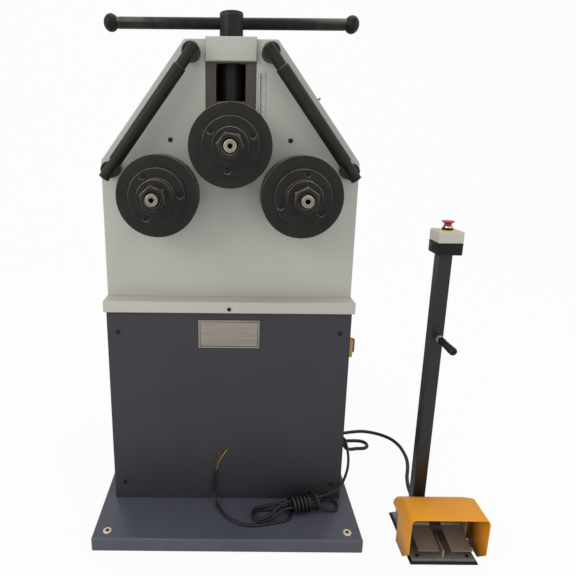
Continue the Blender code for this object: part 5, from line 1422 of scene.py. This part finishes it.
def hank_route():
    """The cord through the hank: four strands in the waist, three eyes, then the wraps round them."""
    rest = MAINS_D / 2 + HANK_REST
    axis = WRAP_R + rest
    top = (0, axis + STRAND_RISE)
    far = (-STRAND_SIDE, axis - STRAND_LOW)
    near = (STRAND_SIDE, axis - STRAND_LOW)
    low = (-STRAND_LOW, axis - STRAND_DROP)
    start_w = top[1] + STRAND_TOP_EXTRA
    points = [(HANK_START_U, 0, start_w), (HANK_START_U + MAINS_D, 0, start_w),
              (-HANK_WAIST_HALF, *top), (0, *top)]
    for eye_u, leaving, arriving, height in (
            (HANK_LEFT_EYE_U, (*top, 1), (*far, -1), rest + HANK_LAYER),
            (HANK_RIGHT_EYE_U, (*far, -1), (*near, 1), rest),
            (HANK_LEFT_EYE_U, (*near, 1), (*low, -1), rest)):
        points += hank_eye(eye_u, leaving, arriving, height)
        points.append((0, *arriving[:2]))
    crossing = [(0, *low), *HANK_CROSSING]
    quarter = WRAP_POINTS // 4
    for step in range(2, quarter + 1):
        turn = 2 * math.pi * step / WRAP_POINTS
        radius = WRAP_R + WRAP_LOOSE * ease((step - 2) / (quarter - 2))
        crossing.append((WRAP_LOOSE_U, radius * math.sin(turn), axis - radius * math.cos(turn)))
    points += [tuple(point) for point in smooth_route(crossing, WRAP_R / 4)[1:-1]]
    first_u = -HANK_WAIST_HALF + WRAP_PITCH / 2
    for step in range(quarter, WRAP_TURNS * WRAP_POINTS + 1):
        turn = 2 * math.pi * step / WRAP_POINTS
        loose = max(0.0, 1 - (step - quarter) / (WRAP_POINTS - quarter))
        radius = WRAP_R + WRAP_LOOSE * loose
        u = first_u + WRAP_PITCH * (step / WRAP_POINTS - 1)
        if loose:
            u = first_u + (WRAP_LOOSE_U - first_u) * ease(loose)
        points.append((u, radius * math.sin(turn), axis - radius * math.cos(turn)))
    last_u = points[-1][0]
    for step in range(1, EYE_STEPS + 1):
        turn = math.pi / 2 * step / EYE_STEPS
        points.append((last_u + TAIL_V * (1 - math.cos(turn)), TAIL_V * math.sin(turn), rest))
    points += [(HANK_JOIN_U - MAINS_D, TAIL_V, rest), (HANK_JOIN_U, TAIL_V, rest)]
    return points


def cord_curve(name, route, diameter, resolution=5):
    """A round cord as a poly curve of one open spline."""
    curve = bpy.data.curves.new(name, "CURVE")
    curve.dimensions = "3D"
    curve.bevel_depth = diameter / 2
    curve.bevel_resolution = resolution
    curve.use_fill_caps = True
    spline = curve.splines.new("POLY")
    spline.points.add(len(route) - 1)
    for slot, point in zip(spline.points, route):
        slot.co = (*point, 1)
    spline.use_smooth = True
    return linked(name, curve)


class RINGROLLER_OT_cords(bpy.types.Operator):
    """Lays the control cable and the mains cord with its hank and bare wires"""

    bl_idname = "ringroller.cords"
    bl_label = "Cords"

    def execute(self, context):
        route = smooth_route(CONTROL_ROUTE, ROUTE_SPACING_DIAMETERS * CONTROL_D)
        cable = keep(cord_curve("control_cord", route, CONTROL_D), "cable_pvc", "black_rubber",
                     "control_cable")

        hank = [hank_to_world(*point) for point in hank_route()]
        spacing = ROUTE_SPACING_DIAMETERS * MAINS_D
        into = (hank[1] - hank[0]).normalized() * MAINS_D
        out = (hank[-1] - hank[-2]).normalized() * MAINS_D
        lead = smooth_route([*LEAD_ROUTE, hank[0] - into, hank[0]], spacing)[:-1]
        tail = smooth_route([hank[-1], hank[-1] + out, *TAIL_ROUTE], spacing)[1:]
        route = lead + hank + tail
        cord = keep(cord_curve("mains_cord", route, MAINS_D), "cable_pvc", "black_rubber",
                    "mains_lead", "mains_hank", "mains_tail")
        wires = [piece for name, (material, points) in WIRES.items()
                 for piece in self.wire(name, material, points)]
        self.glands()
        return {"FINISHED"}

    def wire(self, name, material, points):
        """An insulated wire and its stripped copper end."""
        route = smooth_route(points, WIRE_D)
        bare = max(2, round(WIRE_BARE / WIRE_D))
        jacket = baked(cord_curve(name, route[:-bare], WIRE_D, 3))
        copper = baked(cord_curve(f"{name}_copper", route[-bare - 1:], WIRE_D * COPPER_SHARE, 2))
        return [keep(jacket, material, "black_rubber"), keep(copper, "copper", "bright_steel")]

    def glands(self):
        """The two cord glands on their plate, each a hexagon body and a turned nut tapered to its cord."""
        low, high = span("gland_plate")
        face = low.x + GLAND_PLATE_T
        reach = high.x - face
        shoulder = reach * GLAND_BODY_SHARE
        parts = [slab("entry_plate", low, (face, high.y, high.z), 0.0006)]
        for (_, y, z), diameter in ((LEAD_ROUTE[0], MAINS_D), (CONTROL_ROUTE[0], CONTROL_D)):
            start, cord = Vector((face, y, z)), diameter / 2
            body = prism("gland_body", hexagon(GLAND_HEX_R), 0, shoulder,
                         Matrix.Translation(start) @ aim(RIGHT))
            parts.append(rounded(body, 0.0008, 2))
            corners = [(0, shoulder, 0), (GLAND_NUT_R, shoulder, 0.0004),
                       (GLAND_NUT_R, reach * 0.72, 0.0012), (cord + 0.0020, reach * 0.97, 0.0012),
                       (cord + 0.0006, reach, 0.0003), (0, reach, 0)]
            parts.append(lathe("gland_nut", corners, start, RIGHT, 40))
        keep(joined("cord_glands", parts), "black_polyamide", "black_plastic", "gland_plate")


class RINGROLLER_OT_stage(bpy.types.Operator):
    """Sets up the floor, the lamps, the sky and the camera"""

    bl_idname = "ringroller.stage"
    bl_label = "Studio and Camera"

    def execute(self, context):
        scene = context.scene
        settings = scene.ring_roller_stage
        self.camera(scene)
        self.floor(settings)
        for name, (size, place) in LAMPS.items():
            self.lamp(name, getattr(settings, name), size, place)
        self.sky(scene, settings)
        scene.view_settings.view_transform = "Standard"
        return {"FINISHED"}

    def camera(self, scene):
        camera = bpy.data.cameras.new("camera")
        camera.sensor_width = SENSOR * 1000
        camera.lens = SENSOR * 1000 * FOCAL_PIXELS / PHOTO_PIXELS
        camera.shift_x = 0.5 - PRINCIPAL_POINT[0] / PHOTO_PIXELS
        camera.shift_y = PRINCIPAL_POINT[1] / PHOTO_PIXELS - 0.5
        camera.clip_start, camera.clip_end = CLIP
        obj = linked("camera", camera)
        turn = Matrix.Rotation(math.pi / 2 - CAMERA_PITCH, 4, "X") @ Matrix.Rotation(CAMERA_ROLL, 4, "Z")
        obj.matrix_world = Matrix.Translation(CAMERA_AT) @ turn
        scene.camera = obj

    def floor(self, settings):
        """A plain floor that rises behind the machine in one smooth curve."""
        bm = bmesh.new()
        profile = [(FLOOR_FRONT, 0.0), (FLOOR_BACK, 0.0)]
        for step in range(1, FLOOR_STEPS + 1):
            turn = math.pi / 2 * step / FLOOR_STEPS
            profile.append((FLOOR_BACK + FLOOR_R * math.sin(turn), FLOOR_R * (1 - math.cos(turn))))
        profile.append((FLOOR_BACK + FLOOR_R, FLOOR_TOP))
        rows = [[bm.verts.new((x, y, z - SEAT)) for x in (-FLOOR_HALF, FLOOR_HALF)] for y, z in profile]
        for first, second in zip(rows, rows[1:]):
            bm.faces.new([first[0], first[1], second[1], second[0]])
        floor = mesh_object("studio_floor", bm, 60)
        paper = Surface("paper_backdrop", Roughness=0.9, Base_Color=settings.floor[:])
        white = paper.node("ShaderNodeEmission", {"Color": linear("#FFFFFF"), "Strength": 1.0})
        seen = paper.maths("MULTIPLY", paper.node("ShaderNodeLightPath"), settings.white)
        mixed = paper.node("ShaderNodeMixShader", {0: seen, 1: paper.shader.outputs[0], 2: white})
        paper.tree.links.new(mixed, paper.tree.nodes["Material Output"].inputs["Surface"])
        floor.data.materials.append(paper.material)

    def lamp(self, name, power, size, place):
        lamp = bpy.data.lights.new(name, "AREA")
        lamp.shape = "DISK"
        lamp.size = size
        lamp.energy = power
        turn = (Vector(LAMP_AIM) - Vector(place)).to_track_quat("-Z", "Y").to_matrix().to_4x4()
        linked(name, lamp).matrix_world = Matrix.Translation(place) @ turn

    def sky(self, scene, settings):
        """Even light from all round, which the camera and reflections see as white."""
        world = bpy.data.worlds.new("studio_sky")
        world.use_nodes = True
        tree = world.node_tree
        light = tree.nodes["Background"]
        light.inputs["Color"].default_value = linear("#FFFFFF")
        ray = add_node(tree, "ShaderNodeLightPath").outputs
        seen = ray["Is Camera Ray"]
        for kind in ("Is Glossy Ray", "Is Transmission Ray"):
            seen = output(tree, "ShaderNodeMath", {0: seen, 1: ray[kind]}, operation="MAXIMUM")
        strength = output(tree, "ShaderNodeMix", {0: seen, 2: settings.sky, 3: 1.0})
        tree.links.new(strength, light.inputs["Strength"])
        scene.world = world


class RINGROLLER_PT_panel(bpy.types.Panel):
    bl_label = "Ring Roller"
    bl_idname = "RINGROLLER_PT_panel"
    bl_space_type = "VIEW_3D"
    bl_region_type = "UI"
    bl_category = "Ring Roller"

    def draw(self, context):
        layout = self.layout
        for operator in OPERATORS:
            layout.operator(operator.bl_idname)
        for name in SETTINGS:
            box = layout.box()
            group = getattr(context.scene, name)
            for prop in group.bl_rna.properties:
                if not prop.is_readonly and prop.identifier != "name":
                    box.prop(group, prop.identifier)


OPERATORS = (
    RINGROLLER_OT_stage,
    RINGROLLER_OT_cords,
    RINGROLLER_OT_keep_nodes,
    RINGROLLER_OT_soften,
    RINGROLLER_OT_rollers,
    RINGROLLER_OT_handle,
    RINGROLLER_OT_guards,
    RINGROLLER_OT_fasteners,
    RINGROLLER_OT_foot_switch,
    RINGROLLER_OT_button_box,
)
SETTINGS = {
    "ring_roller_finishes": FinishSettings,
    "ring_roller_fasteners": FastenerSettings,
    "ring_roller_scale": ScaleSettings,
    "ring_roller_stage": StageSettings,
}


def register():
    for kind in (*SETTINGS.values(), *OPERATORS, RINGROLLER_PT_panel):
        bpy.utils.register_class(kind)
    for name, kind in SETTINGS.items():
        setattr(bpy.types.Scene, name, PointerProperty(type=kind))


def unregister():
    for name in SETTINGS:
        delattr(bpy.types.Scene, name)
    for kind in reversed((*SETTINGS.values(), *OPERATORS, RINGROLLER_PT_panel)):
        bpy.utils.unregister_class(kind)


def main():
    register()
    for operator in OPERATORS:
        group, name = operator.bl_idname.split(".")
        getattr(getattr(bpy.ops, group), name)()


if __name__ == "__main__":
    main()
